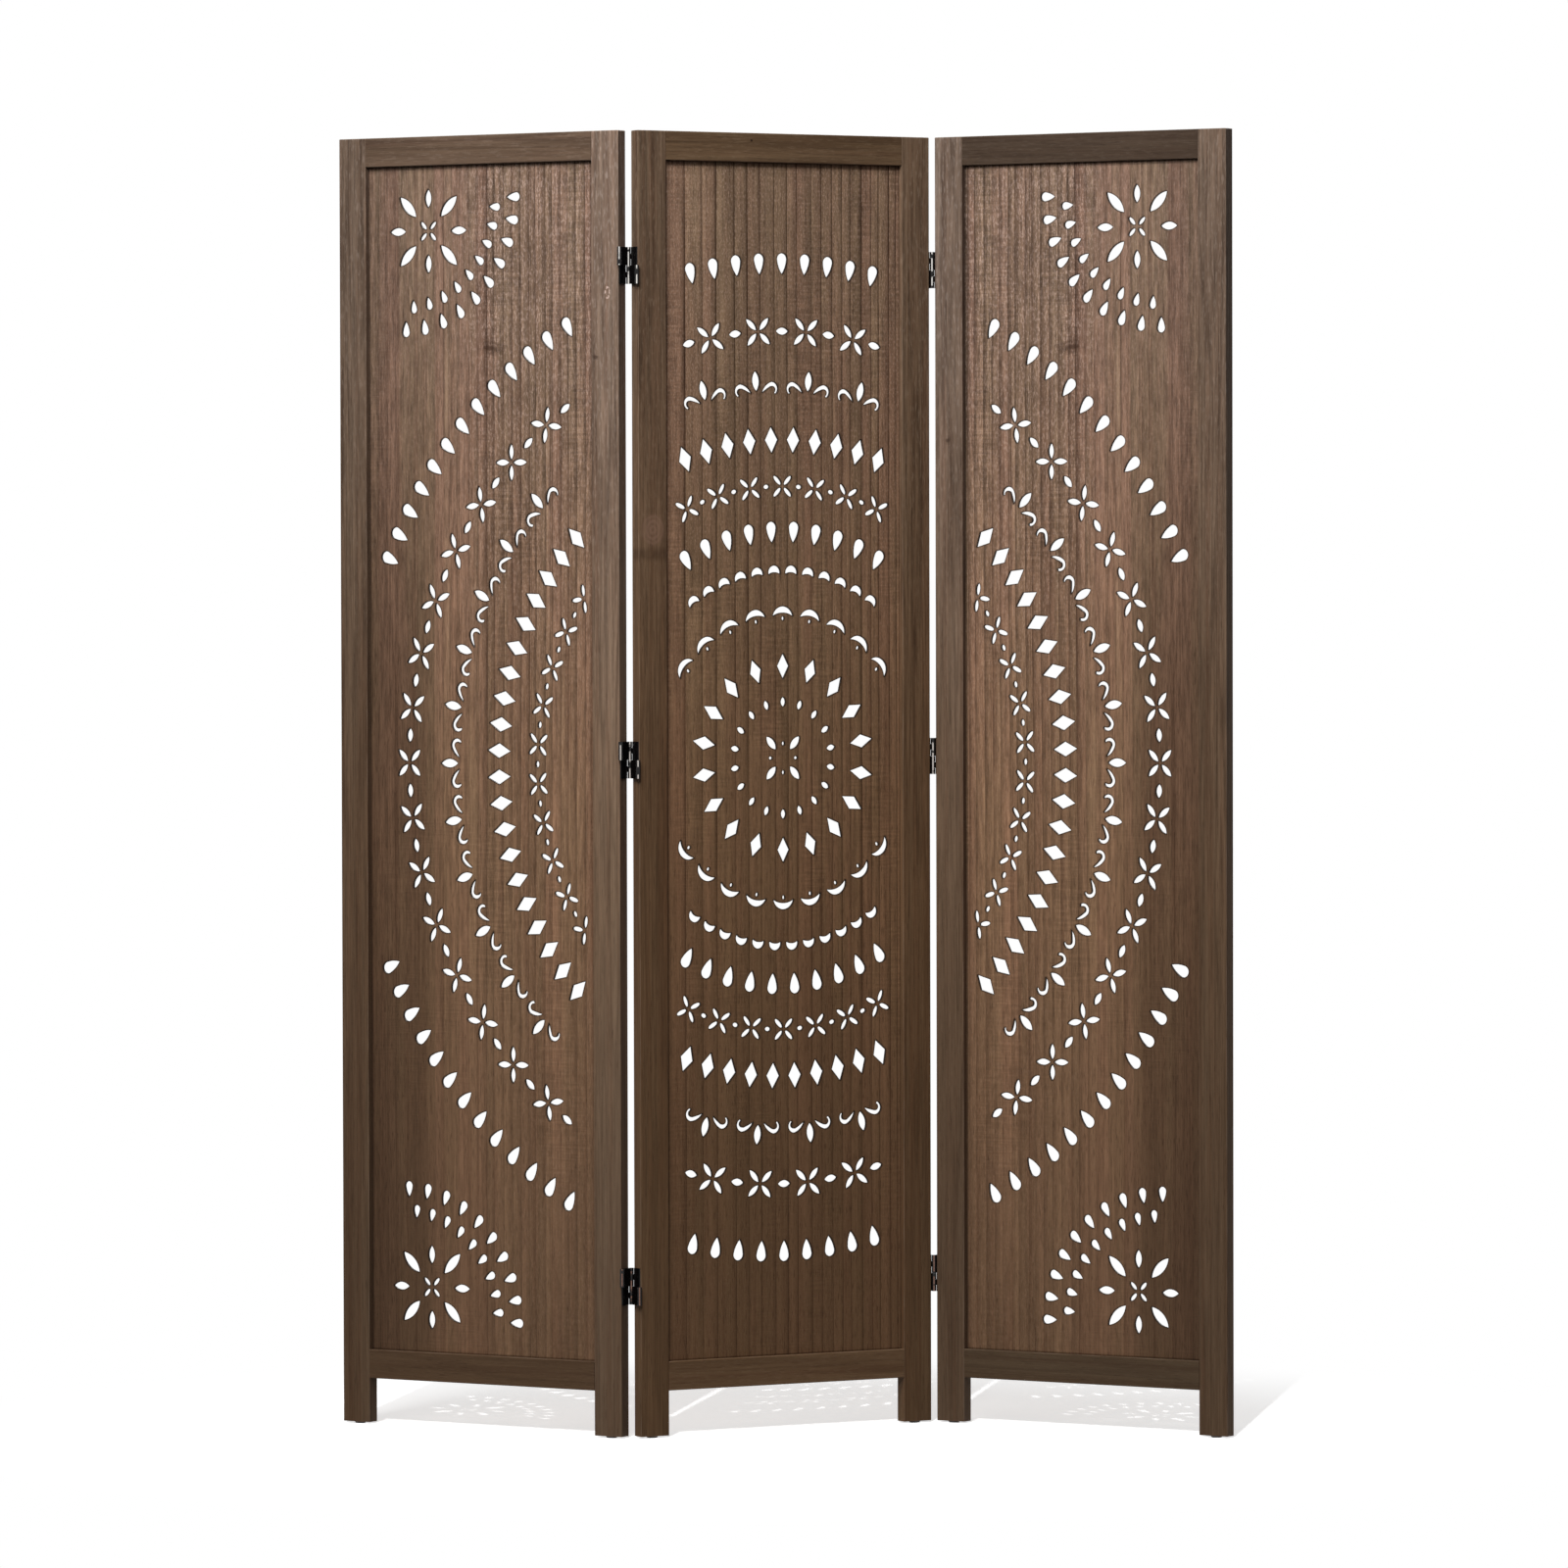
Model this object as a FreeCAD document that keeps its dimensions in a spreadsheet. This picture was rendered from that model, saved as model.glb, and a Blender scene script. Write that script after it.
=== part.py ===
# A folding screen of three framed panels, joined by double-action hinges.
# Each panel is a grooved frame of two stiles and two rails round a thin board,
# which is cut through with rings of petals, drops, diamonds and crescents.
# Millimetres, +Z up, +Y to the back. The origin is on the floor under the
# middle of the middle panel, and the screen stands in a zigzag.

import FreeCAD
import Part
import Sketcher
import math
import os
import types

SIZES = (
    ("screen_height", 1700, "floor to the top of the stiles"),
    ("panel_width", 440, "one panel over both stiles"),
    ("frame_thickness", 18, "stiles and rails, front to back"),
    ("stile_width", 42, "seen from the front"),
    ("rail_height", 38, "seen from the front"),
    ("leg_clearance", 61, "floor to the underside of the bottom rail"),
    ("arris_radius", 1.2, "eased edges of the frame"),
    ("fold_angle", 62, "degrees each joint is folded from flat"),
    ("board_thickness", 3, "the carved board"),
    ("groove_depth", 6, "groove that holds the board"),
    ("board_side_play", 0.1, "board face to groove wall"),
    ("board_end_play", 0.5, "board edge to groove bottom"),
    ("dowel_diameter", 8, "pegs between rails and stiles"),
    ("dowel_length", 40, "half in the rail, half in the stile"),
    ("dowel_side_play", 0.05, "peg to hole, on the radius"),
    ("dowel_end_play", 0.5, "peg to the bottom of its hole"),
    ("glide_diameter", 16, "nail-on foot under each stile"),
    ("glide_height", 2.5, "floor to the underside of the stile"),
    ("glide_taper", 1.5, "foot rim to its flat, on the radius"),
    ("nail_diameter", 2, "the foot's own nail"),
    ("nail_length", 14, "the nail inside the stile"),
    ("nail_play", 0.05, "nail to hole, on the radius and at the tip"),
    ("panel_gap", 6, "between two panels laid flat, and the hinge barrel's diameter"),
    ("pivot_reach", 2, "hinge pin outside the face of the frame"),
    ("hinge_height", 48, "two halves of three knuckles"),
    ("knuckle_play", 0.2, "between two knuckles"),
    ("leaf_thickness", 1.2, "plate of a hinge leaf"),
    ("leaf_to_barrel", 0.4, "edge of a leaf or a link to a barrel that turns past it"),
    ("pin_play", 0.05, "pin to barrel, on the radius"),
    ("top_hinge_drop", 175, "top of the stiles to the middle of the top hinge"),
    ("middle_hinge_height", 883, "floor to the middle of the middle hinge"),
    ("bottom_hinge_height", 198, "floor to the middle of the bottom hinge"),
    ("screw_diameter", 2.4, "hinge screws"),
    ("screw_length", 16, "over the head"),
    ("screw_tip_length", 4, "the pointed end"),
    ("screw_tip_diameter", 0.3, "the end of the point"),
    ("screw_slot_width", 0.6, "arms of the cross slot"),
    ("screw_slot_depth", 0.5, "cross slot"),
    ("screw_play", 0.05, "screw to hole, on the radius and at the tip"),
    ("least_web", 1.6, "least wood between two holes"),
    ("least_border", 4, "least wood between a hole and the frame"),
    ("middle_ring_rise", 2.6, "middle of the field up to the rings' centre, middle board"),
    ("side_ring_drop", 4, "middle of the field down to the rings' centre, side boards"),
    ("side_ring_reach", 443, "middle of a side board to the centre of its rings"),
    ("outer_drop_ring", 648, "radius to the middle of the drops"),
    ("large_flower_ring", 559, "radius to the middle of the flowers"),
    ("fleur_ring", 495, "radius to the middle of the fleurs' petals"),
    ("diamond_ring", 417, "radius to the middle of the diamonds"),
    ("small_flower_ring", 356, "radius to the middle of the flowers"),
    ("inner_drop_ring", 297, "radius to the middle of the drops"),
    ("cap_ring", 246.5, "radius to the middle of the caps"),
    ("crescent_ring", 192, "radius to the middle of the crescents"),
    ("seed_ring", 183, "radius to the seeds inside the crescents"),
    ("sun_ring", 120.5, "radius to the middle of the inner diamonds"),
    ("bud_ring", 73.5, "radius to the middle of the buds"),
    ("heart_petal_ring", 26.5, "radius to the middle of the centre's petals"),
    ("heart_seed_ring", 19, "radius to the centre's seeds"),
    ("drop_length", 28, "drops of both rings"),
    ("drop_width", 15, "drops of both rings"),
    ("large_petal_length", 21.6, "large flowers"),
    ("large_petal_width", 8, "large flowers"),
    ("large_petal_reach", 13.7, "flower centre to petal centre"),
    ("almond_length", 18.8, "between large flowers"),
    ("almond_width", 9.2, "between large flowers"),
    ("fleur_petal_length", 27, "upright petal of a fleur"),
    ("fleur_petal_width", 11.2, "upright petal of a fleur"),
    ("hook_start", 7.8, "fleur's middle to the near tip of a hook"),
    ("hook_span", 24.5, "hook, across"),
    ("hook_rise", 15.5, "hook, along"),
    ("hook_drop", 18.5, "middle of the petal down to the foot of the hooks"),
    ("diamond_length", 36, "outer diamonds"),
    ("diamond_width", 19.8, "outer diamonds"),
    ("small_petal_length", 15.5, "small flowers"),
    ("small_petal_width", 6, "small flowers"),
    ("small_petal_reach", 11, "flower centre to petal centre"),
    ("bead_length", 8.4, "between small flowers"),
    ("bead_width", 5.6, "between small flowers"),
    ("cap_span", 17, "cap, tip to tip"),
    ("cap_rise", 11.8, "cap, tips to crown"),
    ("cap_hollow", 3.2, "cap, tips to hollow"),
    ("crescent_span", 31, "crescent, tip to tip"),
    ("crescent_rise", 13.2, "crescent, tips to crown"),
    ("crescent_hollow", 5.2, "crescent, tips to hollow"),
    ("seed_length", 5.2, "small ovals"),
    ("seed_width", 4, "small ovals"),
    ("sun_length", 34.2, "inner diamonds"),
    ("sun_width", 17.9, "inner diamonds"),
    ("bud_length", 13, "inside the inner diamonds"),
    ("bud_width", 7.4, "inside the inner diamonds"),
    ("heart_petal_length", 22, "flower at the centre"),
    ("heart_petal_width", 10, "flower at the centre"),
    ("corner_inset", 95, "outer stile to the middle of a corner flower"),
    ("corner_drop", 86, "rail to the middle of a corner flower"),
    ("corner_long_reach", 45.5, "corner flower's middle to its slanting petals"),
    ("corner_long_length", 37, "slanting petals"),
    ("corner_long_width", 13.2, "slanting petals"),
    ("corner_upright_reach", 43, "corner flower's middle to its upright petals"),
    ("corner_level_reach", 48, "corner flower's middle to its level petals"),
    ("corner_short_length", 24.5, "upright and level petals"),
    ("corner_short_width", 10.2, "upright and level petals"),
    ("corner_heart_reach", 10.4, "corner flower's middle to its four small petals"),
    ("corner_heart_length", 13, "small petals"),
    ("corner_heart_width", 5.6, "small petals"),
    ("spray_outset", 36, "corner flower's middle out to the centre of the sprays"),
    ("spray_lift", 42, "corner flower's middle up to the centre of the sprays"),
    ("inner_spray_radius", 142, "centre of the sprays to the inner drops"),
    ("inner_spray_length", 17.6, "inner drops"),
    ("inner_spray_width", 10, "inner drops"),
    ("outer_spray_radius", 171, "centre of the sprays to the outer drops"),
    ("outer_spray_length", 21, "outer drops"),
    ("outer_spray_width", 11.6, "outer drops"),
    ("cut_overrun", 1, "how far a cut starts outside the wood"),
)

# Places of the dowels, as shares of the rail's height outside its groove
DOWEL_SHARES = (0.25, 0.75)
# The head of a screw is this share of the leaf's thickness high, and flares as far
SCREW_HEAD_SHARE = 0.8
# Screws to the middle of the leaf: share of the leaf's half width, and of the hinge's height
SCREW_SIDE_SHARE = 0.53
SCREW_RISE_SHARE = 0.29
# A link is this share of its barrel's bore thick
LINK_SHARE = 0.4
# Outlines of the motifs, as shares of their own length and width
DROP_TAIL_SHARE = 0.54
DROP_SHOULDER_SHARE = 0.14
DROP_FLANK_SHARES = (0.34, 0.21)
# Points of a hook across its span and along its rise: near tip, crown, blunt far end and back
HOOK_SHARES = (
    (0, 0.14),
    (0.24, 0.7),
    (0.6, 1),
    (1, 0.55),
    (0.9, 0.05),
    (0.82, 0),
    (0.76, 0.1),
    (0.83, 0.46),
    (0.57, 0.65),
    (0.28, 0.41),
    (0, 0.14),
)
# Tests: an edge this straight runs along an axis, and a board is cut as drawn to this share of its area
ALONG_SHARE = 0.999
AREA_SHARE = 0.000001
OUTLINE_POINTS = 20

# Each row of a ring: motif, how many, degrees from one to the next
MIDDLE_ROWS = (
    ("outer_drop", 9, 3.05),
    ("large_flower", 4, 7.4),
    ("almond", 5, 7.25),
    ("fleur", 4, 9.25),
    ("ring_diamond", 10, 4.55),
    ("small_flower", 7, 7.9),
    ("bead", 6, 7.9),
    ("inner_drop", 10, 6.48),
    ("cap", 12, 6.03),
    ("crescent_moon", 9, 12.75),
    ("seed", 9, 12.75),
)
SIDE_ROWS = (
    ("large_flower", 15, 7.48),
    ("almond", 16, 7.48),
    ("fleur", 11, 8.8),
    ("ring_diamond", 20, 4.74),
    ("small_flower", 10, 8.3),
    ("bead", 9, 8.3),
)
SIDE_DROPS = (13, 3.095)
SIDE_DROP_BEARING = 43.1
SUN_COUNT = 18
HEART_BEARING = 42
INNER_SPRAY = (9, 10)
OUTER_SPRAY = (10, 10)
SPRAY_BEARING = 45
# Turns, in degrees
HALF = math.degrees(math.pi)
QUARTER = HALF / 2
FULL = 2 * HALF

PANELS = ("left", "middle", "right")
# Each joint: its panels, and the one on which the upper links ride
JOINTS = (("left_joint", "left", "middle", "left"), ("right_joint", "middle", "right", "right"))
UP = FreeCAD.Vector(0, 0, 1)
LEVEL = FreeCAD.Vector(1, 0, 0)
ABOUT = FreeCAD.Rotation(UP, HALF)
OVER = FreeCAD.Rotation(LEVEL, HALF)

doc = FreeCAD.newDocument("FoldingScreen")


def make_sheet():
    """The spreadsheet of driving sizes, one row each."""
    table = doc.addObject("Spreadsheet::Sheet", "Sizes")
    for row, (alias, number, note) in enumerate(SIZES, start=1):
        table.set(f"A{row}", alias)
        table.set(f"B{row}", str(number))
        table.setAlias(f"B{row}", alias)
        table.set(f"C{row}", note)
    doc.recompute()
    return table


sheet = make_sheet()
size = types.SimpleNamespace(**{alias: float(sheet.get(alias)) for alias, _, _ in SIZES})


def bound(expression):
    """An expression of driving sizes, with spaces between its words, made to read the sheet."""
    words = []
    for word in expression.split():
        name = word.lstrip("-")
        words.append(word.replace(name, f"Sizes.{name}") if hasattr(size, name) else word)
    return " ".join(words)


def bind(thing, **expressions):
    """Bind properties of an object to expressions of the driving sizes."""
    for name, expression in expressions.items():
        thing.setExpression(name.replace("__", "."), bound(expression))


def value(expression):
    """The present value of an expression of the driving sizes."""
    return float(sheet.evalExpression(bound(expression)))


# Sizes that several pieces share
GROOVE_HALF = "( board_thickness / 2 + board_side_play )"
DOWEL_RADIUS = "( dowel_diameter / 2 + dowel_side_play )"
DOWEL_DEPTH = "dowel_length / 2 + dowel_end_play"
RAIL_SOLID = "( rail_height - groove_depth )"
RAIL_LENGTH = "( panel_width - 2 * stile_width )"
BARREL = "panel_gap / 2"
BORE = "( panel_gap / 2 - leaf_thickness )"
PIVOT = "( frame_thickness / 2 + pivot_reach )"
LEAF_HALF = "( frame_thickness / 2 + pivot_reach - panel_gap / 2 - leaf_to_barrel )"
LINK_HALF = f"( {LINK_SHARE} * {BORE} )"
# Three knuckles in each half of a hinge
KNUCKLE = "( hinge_height / 6 )"
HALF_HINGE = "( hinge_height / 2 )"
SCREW_HOLE = "( screw_diameter / 2 + screw_play )"
SCREW_HEAD = f"( {SCREW_HEAD_SHARE} * leaf_thickness )"
SCREW_SIDE = f"( {SCREW_SIDE_SHARE} * {LEAF_HALF} )"
SCREW_RISE = f"( {SCREW_RISE_SHARE} * hinge_height )"
HINGE_HEIGHTS = {
    "top": "( screen_height - top_hinge_drop )",
    "middle": "middle_hinge_height",
    "bottom": "bottom_hinge_height",
}


# Sketches and features

def new_sketch(body, name, role, height):
    """A sketch on one of the body's own planes, raised along the plane's normal."""
    sketch = body.newObject("Sketcher::SketchObject", name)
    plane = next(item for item in body.Origin.OriginFeatures if item.Role == role)
    sketch.AttachmentSupport = (plane, [""])
    sketch.MapMode = "FlatFace"
    bind(sketch, AttachmentOffset__Base__z=height)
    return sketch


def hold(sketch, kind, item, position, expression):
    """Hold a point of the sketch at a bound distance from the origin."""
    index = sketch.addConstraint(Sketcher.Constraint(kind, -1, 1, item, position, value(expression)))
    sketch.setExpression(f"Constraints[{index}]", bound(expression))


def hold_radius(sketch, item, expression):
    """Bind the radius of a circle or an arc."""
    index = sketch.addConstraint(Sketcher.Constraint("Radius", item, value(expression)))
    sketch.setExpression(f"Constraints[{index}]", bound(expression))


def join_ends(sketch, items):
    """Join each item's end to the start of the next, and the last to the first."""
    for first, second in zip(items, items[1:] + items[:1]):
        sketch.addConstraint(Sketcher.Constraint("Coincident", first, 2, second, 1))


def draw_rectangle(sketch, left, low, right, high):
    """A rectangle whose four sides are bound, each measured from the origin."""
    x0, y0, x1, y1 = (value(side) for side in (left, low, right, high))
    corners = [FreeCAD.Vector(x, y) for x, y in ((x0, y0), (x1, y0), (x1, y1), (x0, y1))]
    ends = corners[1:] + corners[:1]
    sides = [sketch.addGeometry(Part.LineSegment(a, b)) for a, b in zip(corners, ends)]
    join_ends(sketch, sides)
    for side, way in zip(sides, ("Horizontal", "Vertical", "Horizontal", "Vertical")):
        sketch.addConstraint(Sketcher.Constraint(way, side))
    hold(sketch, "DistanceX", sides[0], 1, left)
    hold(sketch, "DistanceY", sides[0], 1, low)
    hold(sketch, "DistanceX", sides[2], 1, right)
    hold(sketch, "DistanceY", sides[2], 1, high)


def draw_circle(sketch, across, up, radius):
    """A circle with a bound centre and radius; None for the centre puts it on that axis."""
    centre = FreeCAD.Vector(value(across) if across else 0, value(up) if up else 0)
    item = sketch.addGeometry(Part.Circle(centre, UP, value(radius)))
    for kind, place_on, axis in (("DistanceX", across, -2), ("DistanceY", up, -1)):
        if place_on:
            hold(sketch, kind, item, 3, place_on)
        else:
            sketch.addConstraint(Sketcher.Constraint("PointOnObject", item, 3, axis))
    hold_radius(sketch, item, radius)


def add_pad(body, sketch, length):
    """Raise a sketch along its normal."""
    pad = body.newObject("PartDesign::Pad", sketch.Name + "_pad")
    pad.Profile = sketch
    bind(pad, Length=length)
    doc.recompute()
    return pad


def add_pocket(body, sketch, depth, along_normal):
    """Cut a sketch into the body, along its normal or against it, and see that it cut."""
    before = body.Shape.Volume
    pocket = body.newObject("PartDesign::Pocket", sketch.Name + "_pocket")
    pocket.Profile = sketch
    pocket.Reversed = along_normal
    bind(pocket, Length=depth)
    doc.recompute()
    if not body.Shape.Volume < before:
        raise RuntimeError(f"{pocket.Name} cuts nothing")
    return pocket


def edge_names(feature, wanted):
    """The names of the edges that a test picks."""
    return [f"Edge{i}" for i, edge in enumerate(feature.Shape.Edges, start=1) if wanted(edge)]


def ease_edges(body, feature, wanted):
    """Round over the edges that a test picks."""
    fillet = body.newObject("PartDesign::Fillet", feature.Name + "_arris")
    fillet.Base = (feature, edge_names(feature, wanted))
    bind(fillet, Radius="arris_radius")
    doc.recompute()


def runs_along(edge, axis):
    """Whether a straight edge runs along an axis."""
    way = edge.Vertexes[-1].Point - edge.Vertexes[0].Point
    return abs(way.dot(axis)) > way.Length * ALONG_SHARE


# Frame of one panel

def make_stile(name, hinged):
    """An upright with its groove towards +X; a hinged one is drilled for screws on its other edge."""
    body = doc.addObject("PartDesign::Body", name)
    section = new_sketch(body, name + "_section", "XY_Plane", "glide_height")
    draw_rectangle(
        section, "-stile_width / 2", "-frame_thickness / 2", "stile_width / 2", "frame_thickness / 2"
    )
    pad = add_pad(body, section, "screen_height - glide_height")
    ease_edges(
        body, pad, lambda edge: runs_along(edge, UP) or edge.BoundBox.ZMin > size.screen_height / 2
    )
    groove = new_sketch(body, name + "_groove", "XY_Plane", f"leg_clearance + {RAIL_SOLID}")
    draw_rectangle(
        groove,
        "stile_width / 2 - groove_depth",
        f"-1 * {GROOVE_HALF}",
        "stile_width / 2 + cut_overrun",
        GROOVE_HALF,
    )
    add_pocket(body, groove, f"screen_height - leg_clearance - 2 * {RAIL_SOLID}", along_normal=True)
    pegs = new_sketch(body, name + "_peg_holes", "YZ_Plane", "stile_width / 2")
    for share in DOWEL_SHARES:
        draw_circle(pegs, None, f"leg_clearance + {share} * {RAIL_SOLID}", DOWEL_RADIUS)
        draw_circle(pegs, None, f"screen_height - {share} * {RAIL_SOLID}", DOWEL_RADIUS)
    add_pocket(body, pegs, DOWEL_DEPTH, along_normal=False)
    nail = new_sketch(body, name + "_nail_hole", "XY_Plane", "glide_height")
    draw_circle(nail, None, None, "nail_diameter / 2 + nail_play")
    add_pocket(body, nail, "nail_length + nail_play", along_normal=True)
    if hinged:
        pilots = new_sketch(body, name + "_screw_holes", "YZ_Plane", "-stile_width / 2")
        for height in HINGE_HEIGHTS.values():
            for side in (f"-1 * {SCREW_SIDE}", SCREW_SIDE):
                for sign in "-+":
                    draw_circle(pilots, side, f"{height} {sign} {SCREW_RISE}", SCREW_HOLE)
        add_pocket(body, pilots, "screw_length - leaf_thickness + screw_play", along_normal=True)
    return body


def make_rail(name):
    """A cross piece along X, with its outer edge at zero and its groove on top."""
    body = doc.addObject("PartDesign::Body", name)
    start = f"-1 * {RAIL_LENGTH} / 2"
    section = new_sketch(body, name + "_section", "YZ_Plane", start)
    draw_rectangle(section, "-frame_thickness / 2", "0", "frame_thickness / 2", "rail_height")
    pad = add_pad(body, section, RAIL_LENGTH)
    ease_edges(body, pad, lambda edge: runs_along(edge, LEVEL))
    groove = new_sketch(body, name + "_groove", "YZ_Plane", start)
    draw_rectangle(groove, f"-1 * {GROOVE_HALF}", RAIL_SOLID, GROOVE_HALF, "rail_height + cut_overrun")
    add_pocket(body, groove, RAIL_LENGTH, along_normal=True)
    for end, place_on in (("near", start), ("far", f"{RAIL_LENGTH} / 2")):
        pegs = new_sketch(body, f"{name}_{end}_peg_holes", "YZ_Plane", place_on)
        for share in DOWEL_SHARES:
            draw_circle(pegs, None, f"{share} * {RAIL_SOLID}", DOWEL_RADIUS)
        add_pocket(body, pegs, DOWEL_DEPTH, along_normal=end == "near")
    return body


def make_dowel():
    """A round peg along X, centred."""
    peg = doc.addObject("Part::Cylinder", "dowel")
    bind(peg, Radius="dowel_diameter / 2", Height="dowel_length")
    start = FreeCAD.Vector(-size.dowel_length / 2, 0, 0)
    peg.Placement = FreeCAD.Placement(start, FreeCAD.Rotation(UP, LEVEL))
    return peg


def make_glide():
    """A foot with its flat underside at zero and a nail that goes up into the stile."""
    foot = doc.addObject("Part::Cone", "glide_foot")
    bind(foot, Radius1="glide_diameter / 2 - glide_taper", Radius2="glide_diameter / 2")
    bind(foot, Height="glide_height")
    nail = doc.addObject("Part::Cylinder", "glide_nail")
    bind(nail, Radius="nail_diameter / 2", Height="glide_height + nail_length")
    glide = doc.addObject("Part::Fuse", "glide")
    glide.Base = foot
    glide.Tool = nail
    return glide


# Hinge: leaves lie on the panels' edges, and links cross from the front pins to the back pins

def draw_curl(sketch, sign):
    """A rolled knuckle: a strip of the leaf runs on to the pin and round it, at the back or the front."""
    barrel = value(BARREL)
    bore = value(BORE)
    pivot = sign * value(PIVOT)
    edge = sign * value(LEAF_HALF)
    meet = pivot - sign * math.sqrt(barrel ** 2 - bore ** 2)
    tangent = FreeCAD.Vector(-barrel, pivot)
    inside = FreeCAD.Vector(-bore, meet)
    corner = FreeCAD.Vector(-barrel, edge)
    heel = FreeCAD.Vector(-bore, edge)
    run = sketch.addGeometry(Part.LineSegment(corner, tangent))
    curl = sketch.addGeometry(Part.Arc(tangent, FreeCAD.Vector(barrel, pivot), inside))
    inner = sketch.addGeometry(Part.LineSegment(inside, heel))
    close = sketch.addGeometry(Part.LineSegment(heel, corner))
    # An arc always runs counterclockwise, so its start is at the tangent only on one side
    starts_at_tangent = sketch.getPoint(curl, 1).distanceToPoint(tangent) < bore
    first, last = (1, 2) if starts_at_tangent else (2, 1)
    sketch.addConstraint(Sketcher.Constraint("Coincident", run, 2, curl, first))
    sketch.addConstraint(Sketcher.Constraint("Coincident", curl, last, inner, 1))
    sketch.addConstraint(Sketcher.Constraint("Coincident", inner, 2, close, 1))
    sketch.addConstraint(Sketcher.Constraint("Coincident", close, 2, run, 1))
    sketch.addConstraint(Sketcher.Constraint("Vertical", run))
    sketch.addConstraint(Sketcher.Constraint("Vertical", inner))
    sketch.addConstraint(Sketcher.Constraint("Horizontal", close))
    sketch.addConstraint(Sketcher.Constraint("PointOnObject", curl, 3, -2))
    hold(sketch, "DistanceY", curl, 3, f"{sign} * {PIVOT}")
    hold(sketch, "DistanceY", run, 2, f"{sign} * {PIVOT}")
    hold_radius(sketch, curl, BARREL)
    hold(sketch, "DistanceX", inner, 1, f"-1 * {BORE}")
    hold(sketch, "DistanceY", close, 1, f"{sign} * {LEAF_HALF}")
    draw_circle(sketch, None, f"{sign} * {PIVOT}", BORE)


def make_leaf():
    """The leaf of a left-hand panel: front knuckle in the upper half, back knuckle in the lower half."""
    body = doc.addObject("PartDesign::Body", "hinge_leaf")
    plate = new_sketch(body, "leaf_plate", "XY_Plane", f"-1 * {HALF_HINGE}")
    draw_rectangle(plate, f"-1 * {BARREL}", f"-1 * {LEAF_HALF}", f"-1 * {BORE}", LEAF_HALF)
    add_pad(body, plate, "hinge_height")
    for name, sign, low in (("leaf_front", -1, KNUCKLE), ("leaf_back", 1, f"-2 * {KNUCKLE}")):
        curl = new_sketch(body, name + "_knuckle", "XY_Plane", f"{low} + knuckle_play / 2")
        draw_curl(curl, sign)
        add_pad(body, curl, f"{KNUCKLE} - knuckle_play")
    holes = new_sketch(body, "leaf_screw_holes", "YZ_Plane", f"-1 * {BORE}")
    for side in (-1, 1):
        for rise in (-1, 1):
            draw_circle(holes, f"{side} * {SCREW_SIDE}", f"{rise} * {SCREW_RISE}", SCREW_HOLE)
    pocket = add_pocket(body, holes, "leaf_thickness + cut_overrun", along_normal=False)
    inner_face = -value(BORE)

    def is_rim(edge):
        off_face = max(abs(edge.BoundBox.XMin - inner_face), abs(edge.BoundBox.XMax - inner_face))
        return edge.isClosed() and off_face < size.screw_play

    sinks = body.newObject("PartDesign::Chamfer", "leaf_countersinks")
    sinks.Base = (pocket, edge_names(pocket, is_rim))
    bind(sinks, Size=SCREW_HEAD)
    doc.recompute()
    return body


def make_link():
    """The link of an upper half: a plate with a barrel at each edge, cut away for the leaves' knuckles."""
    body = doc.addObject("PartDesign::Body", "hinge_link")
    section = new_sketch(body, "link_section", "XY_Plane", "knuckle_play / 2")
    half = value(LINK_HALF)
    crown = value(PIVOT) + value(BARREL)
    neck = value(PIVOT) - math.sqrt(value(BARREL) ** 2 - half ** 2)
    corners = [FreeCAD.Vector(x, y) for x, y in ((half, -neck), (half, neck), (-half, neck), (-half, -neck))]
    right = section.addGeometry(Part.LineSegment(corners[0], corners[1]))
    back = section.addGeometry(Part.Arc(corners[1], FreeCAD.Vector(0, crown), corners[2]))
    left = section.addGeometry(Part.LineSegment(corners[2], corners[3]))
    front = section.addGeometry(Part.Arc(corners[3], FreeCAD.Vector(0, -crown), corners[0]))
    join_ends(section, [right, back, left, front])
    for line, sign in ((right, 1), (left, -1)):
        section.addConstraint(Sketcher.Constraint("Vertical", line))
        hold(section, "DistanceX", line, 1, f"{sign} * {LINK_HALF}")
    for arc, sign in ((back, 1), (front, -1)):
        section.addConstraint(Sketcher.Constraint("PointOnObject", arc, 3, -2))
        hold(section, "DistanceY", arc, 3, f"{sign} * {PIVOT}")
        hold_radius(section, arc, BARREL)
        draw_circle(section, None, f"{sign} * {PIVOT}", BORE)
    add_pad(body, section, f"{HALF_HINGE} - knuckle_play")
    room = new_sketch(body, "link_knuckle_room", "XY_Plane", f"{KNUCKLE} - knuckle_play / 2")
    side = f"( {BARREL} + cut_overrun )"
    edge = f"( {PIVOT} + {BARREL} + cut_overrun )"
    draw_rectangle(room, f"-1 * {side}", LEAF_HALF, side, edge)
    draw_rectangle(room, f"-1 * {side}", f"-1 * {edge}", side, f"-1 * {LEAF_HALF}")
    add_pocket(body, room, f"{KNUCKLE} + knuckle_play", along_normal=True)
    return body


def make_pin():
    """The pin of one half of a hinge, upright, with its lower end at zero."""
    pin = doc.addObject("Part::Cylinder", "hinge_pin")
    bind(pin, Radius=f"{BORE} - pin_play", Height=f"{HALF_HINGE} - knuckle_play")
    return pin


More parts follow.
